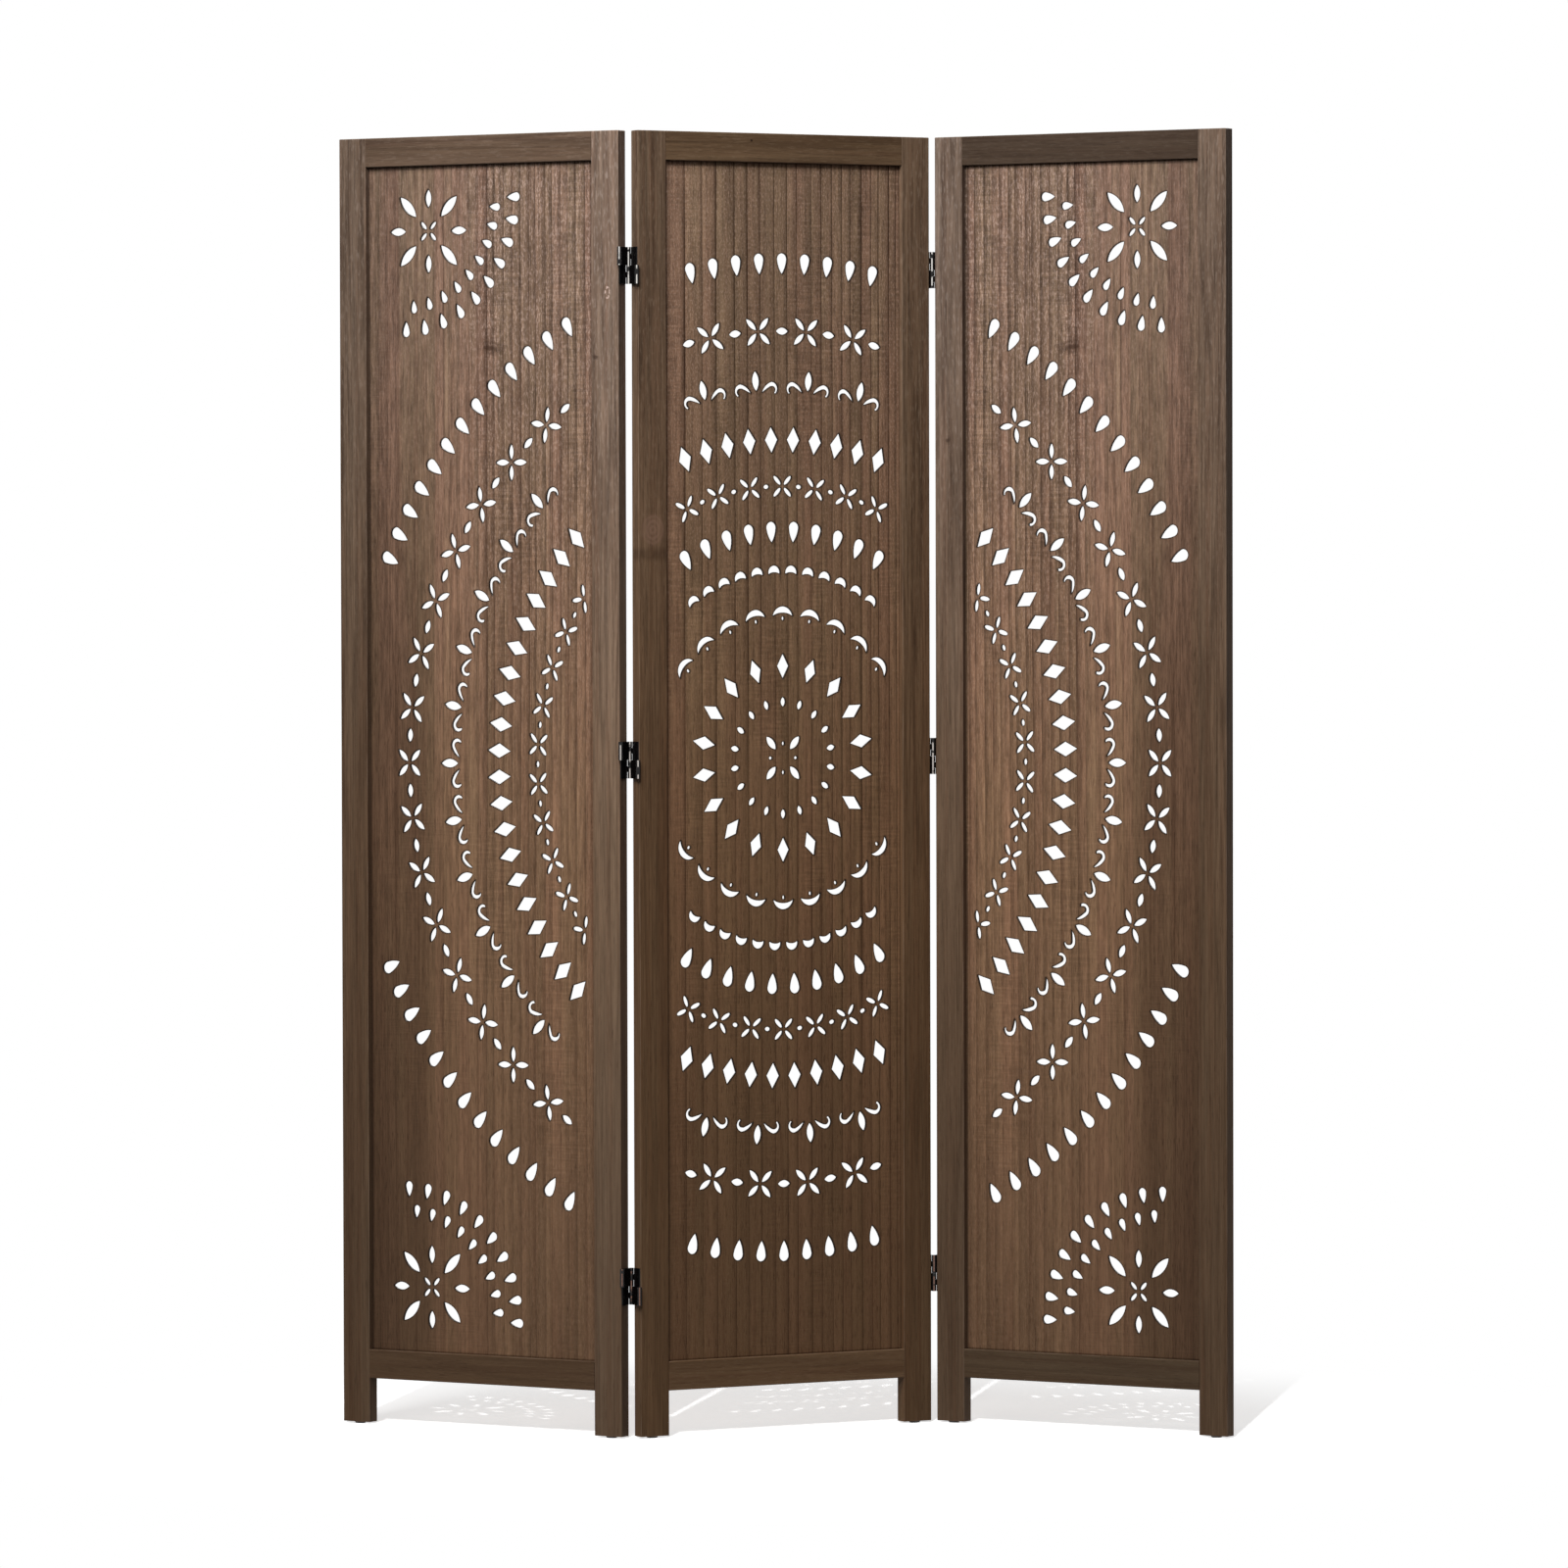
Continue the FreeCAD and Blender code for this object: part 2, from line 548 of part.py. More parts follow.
def make_screw():
    """A countersunk wood screw along X: the flat of its head is at zero and its tip points to -X."""
    head = doc.addObject("Part::Cone", "screw_head")
    bind(head, Radius1=f"screw_diameter / 2 + {SCREW_HEAD}", Radius2="screw_diameter / 2", Height=SCREW_HEAD)
    shank = doc.addObject("Part::Cylinder", "screw_shank")
    bind(shank, Radius="screw_diameter / 2", Height="screw_length - screw_tip_length")
    tip = doc.addObject("Part::Cone", "screw_tip")
    bind(tip, Radius1="screw_diameter / 2", Radius2="screw_tip_diameter / 2", Height="screw_tip_length")
    bind(tip, Placement__Base__z="screw_length - screw_tip_length")
    solid = doc.addObject("Part::MultiFuse", "screw_solid")
    solid.Shapes = [head, shank, tip]
    arms = []
    for name, length, width in (
        ("screw_slot_x", "screw_diameter", "screw_slot_width"),
        ("screw_slot_y", "screw_slot_width", "screw_diameter"),
    ):
        arm = doc.addObject("Part::Box", name)
        bind(arm, Length=length, Width=width, Height="2 * screw_slot_depth")
        bind(arm, Placement__Base__x=f"-{length} / 2", Placement__Base__y=f"-{width} / 2")
        bind(arm, Placement__Base__z="-screw_slot_depth")
        arms.append(arm)
    cross = doc.addObject("Part::MultiFuse", "screw_cross")
    cross.Shapes = arms
    screw = doc.addObject("Part::Cut", "screw")
    screw.Base = solid
    screw.Tool = cross
    screw.Placement = FreeCAD.Placement(FreeCAD.Vector(), FreeCAD.Rotation(UP, -LEVEL))
    return screw


# Motifs of the carved boards. Each takes a mapping from its own (across, along) to the board.

def at(centre, radius, bearing):
    """The mapping for a motif at a radius and a bearing from a centre, clockwise from straight up."""
    over = math.sin(math.radians(bearing))
    up = math.cos(math.radians(bearing))

    def point(across, along):
        reach = radius + along
        return centre + FreeCAD.Vector(over * reach + up * across, 0, up * reach - over * across)

    return point


def turned(point, across, along, bearing):
    """The mapping for a part of a motif, moved and turned within it."""
    over = math.sin(math.radians(bearing))
    up = math.cos(math.radians(bearing))

    def inner(x, z):
        return point(across + up * x + over * z, along - over * x + up * z)

    return inner


def arcs(points):
    """Arcs end to end, each through the point between its ends."""
    starts = range(0, len(points) - 2, 2)
    return [Part.Arc(points[i], points[i + 1], points[i + 2]).toShape() for i in starts]


def lens(point, length, width):
    """Two arcs that meet in a tip at each end."""
    tip = point(0, length / 2)
    tail = point(0, -length / 2)
    return Part.Wire(arcs([tip, point(width / 2, 0), tail, point(-width / 2, 0), tip]))


def oval(point, length, width):
    """An ellipse."""
    ring = Part.Ellipse(point(0, length / 2), point(width / 2, 0), point(0, 0))
    return Part.Wire([ring.toShape()])


def diamond(point, length, width):
    """Four straight sides, with its length along the radius."""
    corners = [point(0, length / 2), point(width / 2, 0), point(0, -length / 2), point(-width / 2, 0)]
    return Part.makePolygon(corners + corners[:1])


def drop(point, length, width):
    """A point at the inner end, bowed sides and a round outer end."""
    tail = point(0, -DROP_TAIL_SHARE * length)
    crown = point(0, (1 - DROP_TAIL_SHARE) * length)
    shoulder = DROP_SHOULDER_SHARE * length
    out, down = DROP_FLANK_SHARES
    right = [point(out * width, -down * length), point(width / 2, shoulder)]
    left = [point(-width / 2, shoulder), point(-out * width, -down * length)]
    return Part.Wire(arcs([tail] + right + [crown] + left + [tail]))


def crescent(point, span, rise, hollow):
    """A high arc over a lower one, with its back outwards."""
    right = point(span / 2, -rise / 2)
    left = point(-span / 2, -rise / 2)
    return Part.Wire(arcs([left, point(0, rise / 2), right, point(0, hollow - rise / 2), left]))


def hook(point, side):
    """A curl that rises from beside a fleur's petal and turns down on the far side."""
    outline = []
    for over, up in HOOK_SHARES:
        across = side * (size.hook_start + over * size.hook_span)
        outline.append(point(across, up * size.hook_rise - size.hook_drop))
    return Part.Wire(arcs(outline))


def petals(point, shape, length, width, reach, bearings):
    """Petals that point away from the middle of a flower."""
    wires = []
    for bearing in bearings:
        over = math.sin(math.radians(bearing))
        up = math.cos(math.radians(bearing))
        wires.append(shape(turned(point, reach * over, reach * up, bearing), length, width))
    return wires


def spread_angles(count, step):
    """Angles a step apart, centred on zero."""
    return [(i - (count - 1) / 2) * step for i in range(count)]


QUARTERS = (0, QUARTER, HALF, -QUARTER)
DIAGONALS = spread_angles(4, QUARTER)


def ring_motif(name, centre, bearing):
    """The outlines of one motif of a ring, in its place on the ring."""
    if name == "outer_drop":
        return [drop(at(centre, size.outer_drop_ring, bearing), size.drop_length, size.drop_width)]
    if name == "inner_drop":
        return [drop(at(centre, size.inner_drop_ring, bearing), size.drop_length, size.drop_width)]
    if name == "large_flower":
        petal = (size.large_petal_length, size.large_petal_width, size.large_petal_reach)
        return petals(at(centre, size.large_flower_ring, bearing), lens, *petal, DIAGONALS)
    if name == "almond":
        point = turned(at(centre, size.large_flower_ring, bearing), 0, 0, QUARTER)
        return [lens(point, size.almond_length, size.almond_width)]
    if name == "fleur":
        point = at(centre, size.fleur_ring, bearing)
        petal = lens(point, size.fleur_petal_length, size.fleur_petal_width)
        return [petal, hook(point, 1), hook(point, -1)]
    if name == "ring_diamond":
        return [diamond(at(centre, size.diamond_ring, bearing), size.diamond_length, size.diamond_width)]
    if name == "small_flower":
        petal = (size.small_petal_length, size.small_petal_width, size.small_petal_reach)
        return petals(at(centre, size.small_flower_ring, bearing), oval, *petal, DIAGONALS)
    if name == "bead":
        point = turned(at(centre, size.small_flower_ring, bearing), 0, 0, QUARTER)
        return [oval(point, size.bead_length, size.bead_width)]
    if name == "cap":
        return [crescent(at(centre, size.cap_ring, bearing), size.cap_span, size.cap_rise, size.cap_hollow)]
    if name == "crescent_moon":
        point = at(centre, size.crescent_ring, bearing)
        return [crescent(point, size.crescent_span, size.crescent_rise, size.crescent_hollow)]
    if name == "seed":
        return [oval(at(centre, size.seed_ring, bearing), size.seed_length, size.seed_width)]
    raise ValueError(name)


# The open field of a board: half its width, and the heights of its edges and its middle
field_half = size.panel_width / 2 - size.stile_width
field_low = size.leg_clearance + size.rail_height
field_high = size.screen_height - size.rail_height
field_middle = (field_low + field_high) / 2


def middle_holes():
    """The middle board: rows above and below a sun with a flower at its heart."""
    centre = FreeCAD.Vector(0, 0, field_middle + size.middle_ring_rise)
    holes = []
    for heading in (0, HALF):
        for name, count, step in MIDDLE_ROWS:
            for angle in spread_angles(count, step):
                holes += ring_motif(name, centre, heading + angle)
        for lean in (-HEART_BEARING, HEART_BEARING):
            petal = at(centre, size.heart_petal_ring, heading + lean)
            holes.append(lens(petal, size.heart_petal_length, size.heart_petal_width))
    for i in range(SUN_COUNT):
        angle = i * FULL / SUN_COUNT
        holes.append(diamond(at(centre, size.sun_ring, angle), size.sun_length, size.sun_width))
        holes.append(lens(at(centre, size.bud_ring, angle), size.bud_length, size.bud_width))
    for angle in QUARTERS:
        holes.append(oval(at(centre, size.heart_seed_ring, angle), size.seed_length, size.seed_width))
    return holes


def corner_holes(up):
    """A corner of a left-hand board: a flower and two sprays of drops, at the top or the bottom."""
    edge = field_high if up > 0 else field_low
    middle = FreeCAD.Vector(size.corner_inset - field_half, 0, edge - up * size.corner_drop)
    point = at(middle, 0, 0)
    short = (size.corner_short_length, size.corner_short_width)
    slant = (size.corner_long_length, size.corner_long_width, size.corner_long_reach)
    heart = (size.corner_heart_length, size.corner_heart_width, size.corner_heart_reach)
    holes = petals(point, lens, *slant, DIAGONALS)
    holes += petals(point, lens, *short, size.corner_upright_reach, (0, HALF))
    holes += petals(point, lens, *short, size.corner_level_reach, (QUARTER, -QUARTER))
    holes += petals(point, oval, *heart, DIAGONALS)
    source = middle + FreeCAD.Vector(-size.spray_outset, 0, up * size.spray_lift)
    sprays = (
        (INNER_SPRAY, size.inner_spray_radius, size.inner_spray_length, size.inner_spray_width),
        (OUTER_SPRAY, size.outer_spray_radius, size.outer_spray_length, size.outer_spray_width),
    )
    for (count, step), radius, length, width in sprays:
        for angle in spread_angles(count, step):
            bearing = QUARTER + up * (SPRAY_BEARING + angle)
            holes.append(drop(at(source, radius, bearing), length, width))
    return holes


def side_holes():
    """The board of the left panel: rings round a centre on the middle panel, and corner flowers."""
    centre = FreeCAD.Vector(size.side_ring_reach, 0, field_middle - size.side_ring_drop)
    holes = []
    for name, count, step in SIDE_ROWS:
        for angle in spread_angles(count, step):
            holes += ring_motif(name, centre, angle - QUARTER)
    for up in (1, -1):
        for angle in spread_angles(*SIDE_DROPS):
            holes += ring_motif("outer_drop", centre, up * (SIDE_DROP_BEARING + angle) - QUARTER)
        holes += corner_holes(up)
    return holes


def clear_holes(holes):
    """The outlines that leave enough wood to the frame and to each outline kept before them."""
    border = size.least_border
    kept = []
    for wire in holes:
        box = wire.BoundBox
        if max(-box.XMin, box.XMax) > field_half - border:
            continue
        if box.ZMin < field_low + border or box.ZMax > field_high - border:
            continue
        points = wire.discretize(Number=OUTLINE_POINTS)
        room = FreeCAD.BoundBox(box)
        room.enlarge(size.least_web)
        near = [outline for other, outline in kept if room.intersect(other.BoundBox)]
        gaps = [a.distanceToPoint(b) for outline in near for a in points for b in outline]
        if not gaps or min(gaps) > size.least_web:
            kept.append((wire, points))
    return [wire for wire, _ in kept]


def make_board(name, holes):
    """A thin board with its edges in the grooves, cut through with the outlines."""
    tongue = size.groove_depth - size.board_end_play
    half = field_half + tongue
    low = field_low - tongue
    high = field_high + tongue
    corners = [FreeCAD.Vector(x, 0, z) for x, z in ((-half, low), (half, low), (half, high), (-half, high))]
    outline = Part.makePolygon(corners + corners[:1])
    wires = clear_holes(holes)
    face = Part.Face([outline] + wires)
    face.validate()
    whole = Part.Face(outline).Area
    cut = sum(Part.Face(wire).Area for wire in wires)
    if abs(face.Area + cut - whole) > AREA_SHARE * whole:
        raise RuntimeError(f"{name} is not cut as drawn")
    face.translate(FreeCAD.Vector(0, -size.board_thickness / 2, 0))
    board = doc.addObject("Part::Feature", name)
    board.Shape = face.extrude(FreeCAD.Vector(0, size.board_thickness, 0))
    print(name, len(wires), "of", len(holes), "holes")
    return board


# Placing

def shift(x, y, z, turn=FreeCAD.Rotation()):
    """A placement within a panel or a hinge."""
    return FreeCAD.Placement(FreeCAD.Vector(x, y, z), turn)


def panel_places():
    """Where each panel stands, on the floor under its middle, when both joints are folded."""
    turn = FreeCAD.Rotation(UP, size.fold_angle / 2)
    back = turn.inverted()
    edge = size.panel_width / 2 + value(BARREL)
    pivot = value(PIVOT)
    # The left joint is folded on its back pins, and the right joint mirrors it through the origin
    left = turn.multVec(FreeCAD.Vector(-edge, pivot, 0)) - back.multVec(FreeCAD.Vector(edge, pivot, 0))
    return {
        "left": FreeCAD.Placement(left, back),
        "middle": FreeCAD.Placement(FreeCAD.Vector(), turn),
        "right": FreeCAD.Placement(-left, back),
    }


def place(master, label, placement):
    """One copy of a piece, in its place."""
    piece = doc.addObject("Part::Compound", label)
    piece.Links = [master]
    piece.Placement = placement
    return piece


def place_group(master, label, placements):
    """Several separate copies of a piece, as one sub-part."""
    group = doc.addObject("Part::Compound", label)
    group.Links = [place(master, f"{label}_{i}", where) for i, where in enumerate(placements, start=1)]
    return group


plain_stile = make_stile("plain_stile", hinged=False)
hinged_stile = make_stile("hinged_stile", hinged=True)
rail = make_rail("rail")
dowel = make_dowel()
glide = make_glide()
leaf = make_leaf()
link = make_link()
pin = make_pin()
screw = make_screw()
middle_board = make_board("middle_board", middle_holes())
side_board = make_board("side_board", side_holes())
places = panel_places()


def place_panel(panel):
    """The frame, board, dowels and glides of one panel."""
    home = places[panel]
    label = f"{panel}_panel"
    stile_x = (size.panel_width - size.stile_width) / 2
    left_stile = plain_stile if panel == "left" else hinged_stile
    right_stile = plain_stile if panel == "right" else hinged_stile
    board = middle_board if panel == "middle" else side_board
    board_turn = ABOUT if panel == "right" else FreeCAD.Rotation()
    pegs = []
    for share in DOWEL_SHARES:
        inset = share * value(RAIL_SOLID)
        for z in (size.leg_clearance + inset, size.screen_height - inset):
            pegs += [home * shift(x, 0, z) for x in (-field_half, field_half)]
    feet = [home * shift(x, 0, 0) for x in (-stile_x, stile_x)]
    return [
        place(left_stile, f"{label}_left_stile", home * shift(-stile_x, 0, 0)),
        place(right_stile, f"{label}_right_stile", home * shift(stile_x, 0, 0, ABOUT)),
        place(rail, f"{label}_bottom_rail", home * shift(0, 0, size.leg_clearance)),
        place(rail, f"{label}_top_rail", home * shift(0, 0, size.screen_height, OVER)),
        place(board, f"{label}_carved_board", home * shift(0, 0, 0, board_turn)),
        place_group(dowel, f"{label}_dowels", pegs),
        place_group(glide, f"{label}_glides", feet),
    ]


def place_joint(joint, left_panel, right_panel, upper_rider):
    """The three hinges between two panels, with the pins and screws of each panel's edge."""
    edge = size.panel_width / 2 + value(BARREL)
    half = value(HALF_HINGE)
    low = size.knuckle_play / 2
    side = value(SCREW_SIDE)
    rise = value(SCREW_RISE)
    pin_spots = ((-value(PIVOT), low), (value(PIVOT), low - half))
    screw_spots = ((-side, -rise), (-side, rise), (side, -rise), (side, rise))
    edges = {left_panel: ("left", shift(edge, 0, 0)), right_panel: ("right", shift(-edge, 0, 0, ABOUT))}
    pins = {panel: [] for panel in edges}
    screws = {panel: [] for panel in edges}
    pieces = []
    for hinge, height in HINGE_HEIGHTS.items():
        label = f"{joint}_{hinge}_hinge"
        for panel, (hand, to_edge) in edges.items():
            seat = places[panel] * to_edge * shift(0, 0, value(height))
            pieces.append(place(leaf, f"{label}_{hand}_leaf", seat))
            pins[panel] += [seat * shift(0, y, z) for y, z in pin_spots]
            screws[panel] += [seat * shift(-value(BORE), y, z) for y, z in screw_spots]
            if panel == upper_rider:
                pieces.append(place(link, f"{label}_upper_link", seat))
            else:
                pieces.append(place(link, f"{label}_lower_link", seat * shift(0, 0, -half)))
    for panel in edges:
        pieces.append(place_group(pin, f"{joint}_{panel}_panel_pins", pins[panel]))
        pieces.append(place_group(screw, f"{joint}_{panel}_panel_screws", screws[panel]))
    return pieces


nodes = []
for panel in PANELS:
    nodes += place_panel(panel)
for joint in JOINTS:
    nodes += place_joint(*joint)

doc.recompute()
for item in doc.Objects:
    if "Invalid" in item.State or "Error" in item.State:
        raise RuntimeError(f"{item.Label} failed: {item.State}")
for node in nodes:
    if node.Shape.isNull() or not node.Shape.isValid():
        raise RuntimeError(f"{node.Label} has no valid shape")
os.makedirs("parts", exist_ok=True)
for node in nodes:
    node.Shape.exportStep(f"parts/{node.Label}.step")
print(len(nodes), "sub-parts")
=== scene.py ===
import math

import bpy
import numpy as np
from mathutils import Matrix, Vector


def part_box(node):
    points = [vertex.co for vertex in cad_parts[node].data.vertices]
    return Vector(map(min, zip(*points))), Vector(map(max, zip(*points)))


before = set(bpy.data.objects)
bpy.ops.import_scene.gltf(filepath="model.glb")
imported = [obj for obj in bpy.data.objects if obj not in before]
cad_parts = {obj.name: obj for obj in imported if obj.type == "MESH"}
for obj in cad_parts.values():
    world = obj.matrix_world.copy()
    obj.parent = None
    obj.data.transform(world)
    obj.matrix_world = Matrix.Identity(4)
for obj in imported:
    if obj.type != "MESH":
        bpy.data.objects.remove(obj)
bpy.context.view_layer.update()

# The screen stands in a zigzag: each panel is turned this far about the vertical.
PANEL_TURN = {"left": math.radians(-31), "middle": math.radians(31), "right": math.radians(-31)}
# Open field of a board, in metres: half its width, and the heights of its lower and upper edge.
FIELD_HALF, FIELD_LOW, FIELD_HIGH = 0.178, 0.099, 1.662

# How bright each piece is at its foot and its head, as shares of the plain colour, and
# the height from which it has the head's tone. This is partly the stain's tone and partly painted
# light: heads are painted lighter as if lit from above, and pieces are painted darker or lighter for
# the light and sheen they catch.
PAINTED_LIGHT_AND_TONE = {
    "left_panel_carved_board": (0.79, 1.21, 1.2),
    "left_panel_left_stile": (0.58, 0.76, 1.6),
    "left_panel_right_stile": (0.77, 1.20, 1.1),
    "left_panel_top_rail": (0.92, 0.92, 1.6),
    "left_panel_bottom_rail": (0.77, 0.77, 1.6),
    "middle_panel_carved_board": (0.57, 0.93, 1.1),
    "middle_panel_left_stile": (0.63, 0.59, 1.6),
    "middle_panel_right_stile": (0.61, 0.76, 0.9),
    "middle_panel_top_rail": (0.85, 0.85, 1.6),
    "middle_panel_bottom_rail": (1.18, 1.18, 1.6),
    "right_panel_carved_board": (0.77, 1.28, 1.25),
    "right_panel_left_stile": (0.66, 1.02, 1.6),
    "right_panel_right_stile": (0.57, 0.86, 1.6),
    "right_panel_top_rail": (0.48, 0.48, 1.6),
    "right_panel_bottom_rail": (0.70, 0.70, 1.6),
}
# The foot of the painted light ends at this height. The tint goes from warm to cool grey between two
# other heights; the cool grey head is painted sheen.
TONE_FOOT, TINT_FOOT, TINT_HEAD = 0.1, 0.6, 1.65
WARM_FOOT, COOL_SHEEN_HEAD = (1.06, 0.97, 0.85, 1), (0.98, 1.0, 1.06, 1)
# The middle panel is tinted warmer than its neighbours.
PANEL_TINT = {
    "left": (1.03, 1.0, 0.98, 1),
    "middle": (1.05, 0.99, 0.89, 1),
    "right": (1.03, 1.0, 0.98, 1),
}
# The two stiles beside the middle panel and two of the bottom rails are tinted greyer, and the rest
# of the middle panel's frame warmer.
PIECE_TINT = {
    "left_panel_right_stile": (0.98, 1.03, 1.10, 1),
    "middle_panel_left_stile": (1.01, 0.96, 0.92, 1),
    "middle_panel_right_stile": (0.99, 0.97, 0.95, 1),
    "middle_panel_top_rail": (1.01, 0.97, 0.87, 1),
    "middle_panel_bottom_rail": (0.98, 1.02, 1.09, 1),
    "right_panel_left_stile": (0.98, 1.03, 1.10, 1),
    "right_panel_bottom_rail": (0.95, 1.04, 1.10, 1),
}
# Small knots, in metres: how far across the panel, how high, half the width and half the height.
KNOTS = {
    "left_panel_carved_board": (0.018, 1.420, 0.026, 0.012),
    "right_panel_carved_board": (0.018, 1.420, 0.026, 0.012),
    "left_panel_right_stile": (0.184, 1.406, 0.006, 0.004),
    "right_panel_left_stile": (-0.200, 1.300, 0.005, 0.006),
}
# Other marks, measured in the same way, and the height of the fold under the healed knot.
CHIP = (0.203, 1.490, 0.0045, 0.009)
HEALED_KNOT, FOLD_HEIGHT = (-0.199, 1.182, 0.020, 0.024), 1.150
NAIL = (-0.050, 1.690, 0.001, 0.001)

# Clouds in the wood: how many billows fit in a metre across, through and along the grain, how many
# finer layers they have, and how rough those are.
BOARD_CLOUDS = {
    "fibre": ((400, 400, 9), 3, 0.6),
    "streak": ((120, 120, 2.0), 3, 0.6),
    "fleck": ((640, 640, 240), 2, 0.6),
    "pore": ((800, 800, 60), 1, 0.5),
    "broken": ((210, 210, 20), 3, 0.7),
    "band": ((18, 18, 0.9), 3, 0.55),
    "patch": ((16, 16, 5.0), 1, 0.5),
    "ripple": ((26, 26, 300), 2, 0.5),
    "worn": ((20, 20, 1.8), 2, 0.5),
    "blush": ((36, 36, 2.2), 2, 0.5),
}
FRAME_CLOUDS = {
    "fibre": ((420, 420, 8), 3, 0.6),
    "streak": ((110, 110, 1.5), 3, 0.6),
    "fleck": ((420, 420, 80), 2, 0.6),
    "pore": ((900, 900, 50), 1, 0.5),
    "broken": ((250, 250, 10), 3, 0.7),
    "band": ((26, 26, 0.9), 3, 0.55),
    "wave": ((34, 34, 1.3), 2, 0.5),
    "chafe": ((60, 60, 24), 2, 0.5),
}
# How strongly marks show on the middle board and on a side board, and on a stile and on a rail. Band
# is the shade of a dark band.
BOARD_MARKS = {
    "middle": {"band": 0.86, "fleck": 0.42, "rib": 0.22, "line": 1.0, "broken": 0.16},
    "side": {"band": 0.72, "fleck": 0.5, "rib": 0.72, "line": 0.95, "broken": 0.3},
}
FRAME_MARKS = {
    "stile": {"fibre": 0.46, "fleck": 0.5, "broken": 0.24},
    "rail": {"fibre": 0.3, "fleck": 0.15, "broken": 0.1},
}

# Lamps: kind, strength, breadth (metres for a panel, degrees for a far lamp), place and target.
LAMPS = {
    "soft_lamp": ("AREA", 45, 1.1, (-0.65, -1.5, 2.75), (0, 0, 1.0)),
    "front_lamp": ("SUN", 0.77, 0.6, (-0.8, -5.6, 4.3), (0, 0, 0)),
    "back_lamp": ("SUN", 2.2, 12, (1.5, 5.0, 4.0), (0, 0, 0)),
}
# Floor: half its breadth, the glow that its shadow keeps, its paleness under the lamps, and from how
# far out to how far out it fades to plain white.
FLOOR_HALF, FLOOR_GLOW, FLOOR_PALE, FADE_FROM, FADE_TO = 30.0, 0.68, 1.7, 0.5, 1.15
# Camera: place in metres, turn, tip and roll in degrees, and focal length in pixels of the frame.
CAMERA_PLACE, CAMERA_TURN = (0.210, -11.562, 1.127), (1.033, -1.378, -0.140)
FOCAL_PIXELS, FRAME_PIXELS = 9000, 1600


def srgb(red, green, blue):
    """A colour as seen on a screen, 0 to 255 each, made linear by the sRGB curve."""
    share = np.array((red, green, blue)) / 255
    linear = np.where(share <= 0.04045, share / 12.92, ((share + 0.055) / 1.055) ** 2.4)
    return (*(float(v) for v in linear), 1.0)


class Mix:
    """A finish or a light being mixed: each call adds a step and gives back what comes out of it."""

    def __init__(self, tree):
        self.tree = tree
        tree.nodes.clear()

    def feed(self, socket, given):
        """Links what another step gives, or sets a plain value."""
        if isinstance(given, bpy.types.NodeSocket):
            self.tree.links.new(given, socket)
        else:
            socket.default_value = given

    def add(self, kind, inputs=None, output=0, **settings):
        """One step of any kind, its inputs fed and its settings made."""
        step = self.tree.nodes.new("ShaderNode" + kind)
        for key, setting in settings.items():
            setattr(step, key, setting)
        for socket, given in (inputs or {}).items():
            self.feed(step.inputs[socket], given)
        return step.outputs[output] if step.outputs else step

    def sum(self, operation, first, second=0.0, third=0.0):
        """One sum in numbers, as its operation says."""
        return self.add("Math", {0: first, 1: second, 2: third}, operation=operation)

    def times(self, first, *others):
        """The product of all that is given."""
        for other in others:
            first = self.sum("MULTIPLY", first, other)
        return first

    def graded(self, given, slope, start):
        """Start, plus slope times what is given."""
        return self.sum("MULTIPLY_ADD", given, slope, start)

    def between(self, given, low, high, start=0.0, end=1.0):
        """Start below low, end above high, and a smooth step between them."""
        inputs = {"Value": given, "From Min": low, "From Max": high, "To Min": start, "To Max": end}
        return self.add("MapRange", inputs, interpolation_type="SMOOTHSTEP")

    def blend(self, share, first, second, how="MIX"):
        """The first colour with this share of the second in it, or their product for MULTIPLY."""
        step = self.tree.nodes.new("ShaderNodeMix")
        step.data_type = "RGBA"
        step.blend_type = how
        for name, given in {"Factor": share, "A": first, "B": second}.items():
            self.feed(next(s for s in step.inputs if s.name == name and s.enabled), given)
        return next(s for s in step.outputs if s.enabled)

    def scaled(self, colour, share):
        """Each part of the colour times the share."""
        return self.add("VectorMath", {0: colour, "Scale": share}, operation="SCALE")

    def length(self, vector):
        """The root of the summed squares."""
        return self.add("VectorMath", {0: vector}, output="Value", operation="LENGTH")

    def split(self, vector):
        """The three numbers of a vector."""
        step = self.tree.nodes.new("ShaderNodeSeparateXYZ")
        self.tree.links.new(vector, step.inputs[0])
        return tuple(step.outputs)

    def stretch(self, vector, scale, offset=(0, 0, 0)):
        """The place times the scale, plus the offset."""
        return self.add("Mapping", {"Vector": vector, "Scale": scale, "Location": offset})

    def cloud(self, vector, detail=2.0, roughness=0.5):
        """Soft noise about a half, one billow to each unit of the place."""
        inputs = {"Vector": vector, "Scale": 1.0, "Detail": detail, "Roughness": roughness}
        return self.add("TexNoise", inputs)

    def bump(self, height, strength, distance):
        """The surface leaned as if it rose by the height times the distance, in metres."""
        return self.add("Bump", {"Height": height, "Strength": strength, "Distance": distance})

    def seen(self):
        """1 for what the camera sees, straight or by way of gloss or glass, and 0 for other light."""
        rays = self.tree.nodes.new("ShaderNodeLightPath").outputs
        straight = self.sum("MAXIMUM", rays["Is Camera Ray"], rays["Is Glossy Ray"])
        return self.sum("MAXIMUM", straight, rays["Is Transmission Ray"])


class Finish(Mix):
    """The finish of a piece, in a material of its own."""

    def __init__(self, name):
        self.material = bpy.data.materials.new(name)
        self.material.use_nodes = True
        super().__init__(self.material.node_tree)

    def shade(self, inputs):
        """Ends the mixing with a plain shader, fed with what was mixed."""
        self.add("OutputMaterial", {"Surface": self.add("BsdfPrincipled", inputs)})
        return self.material


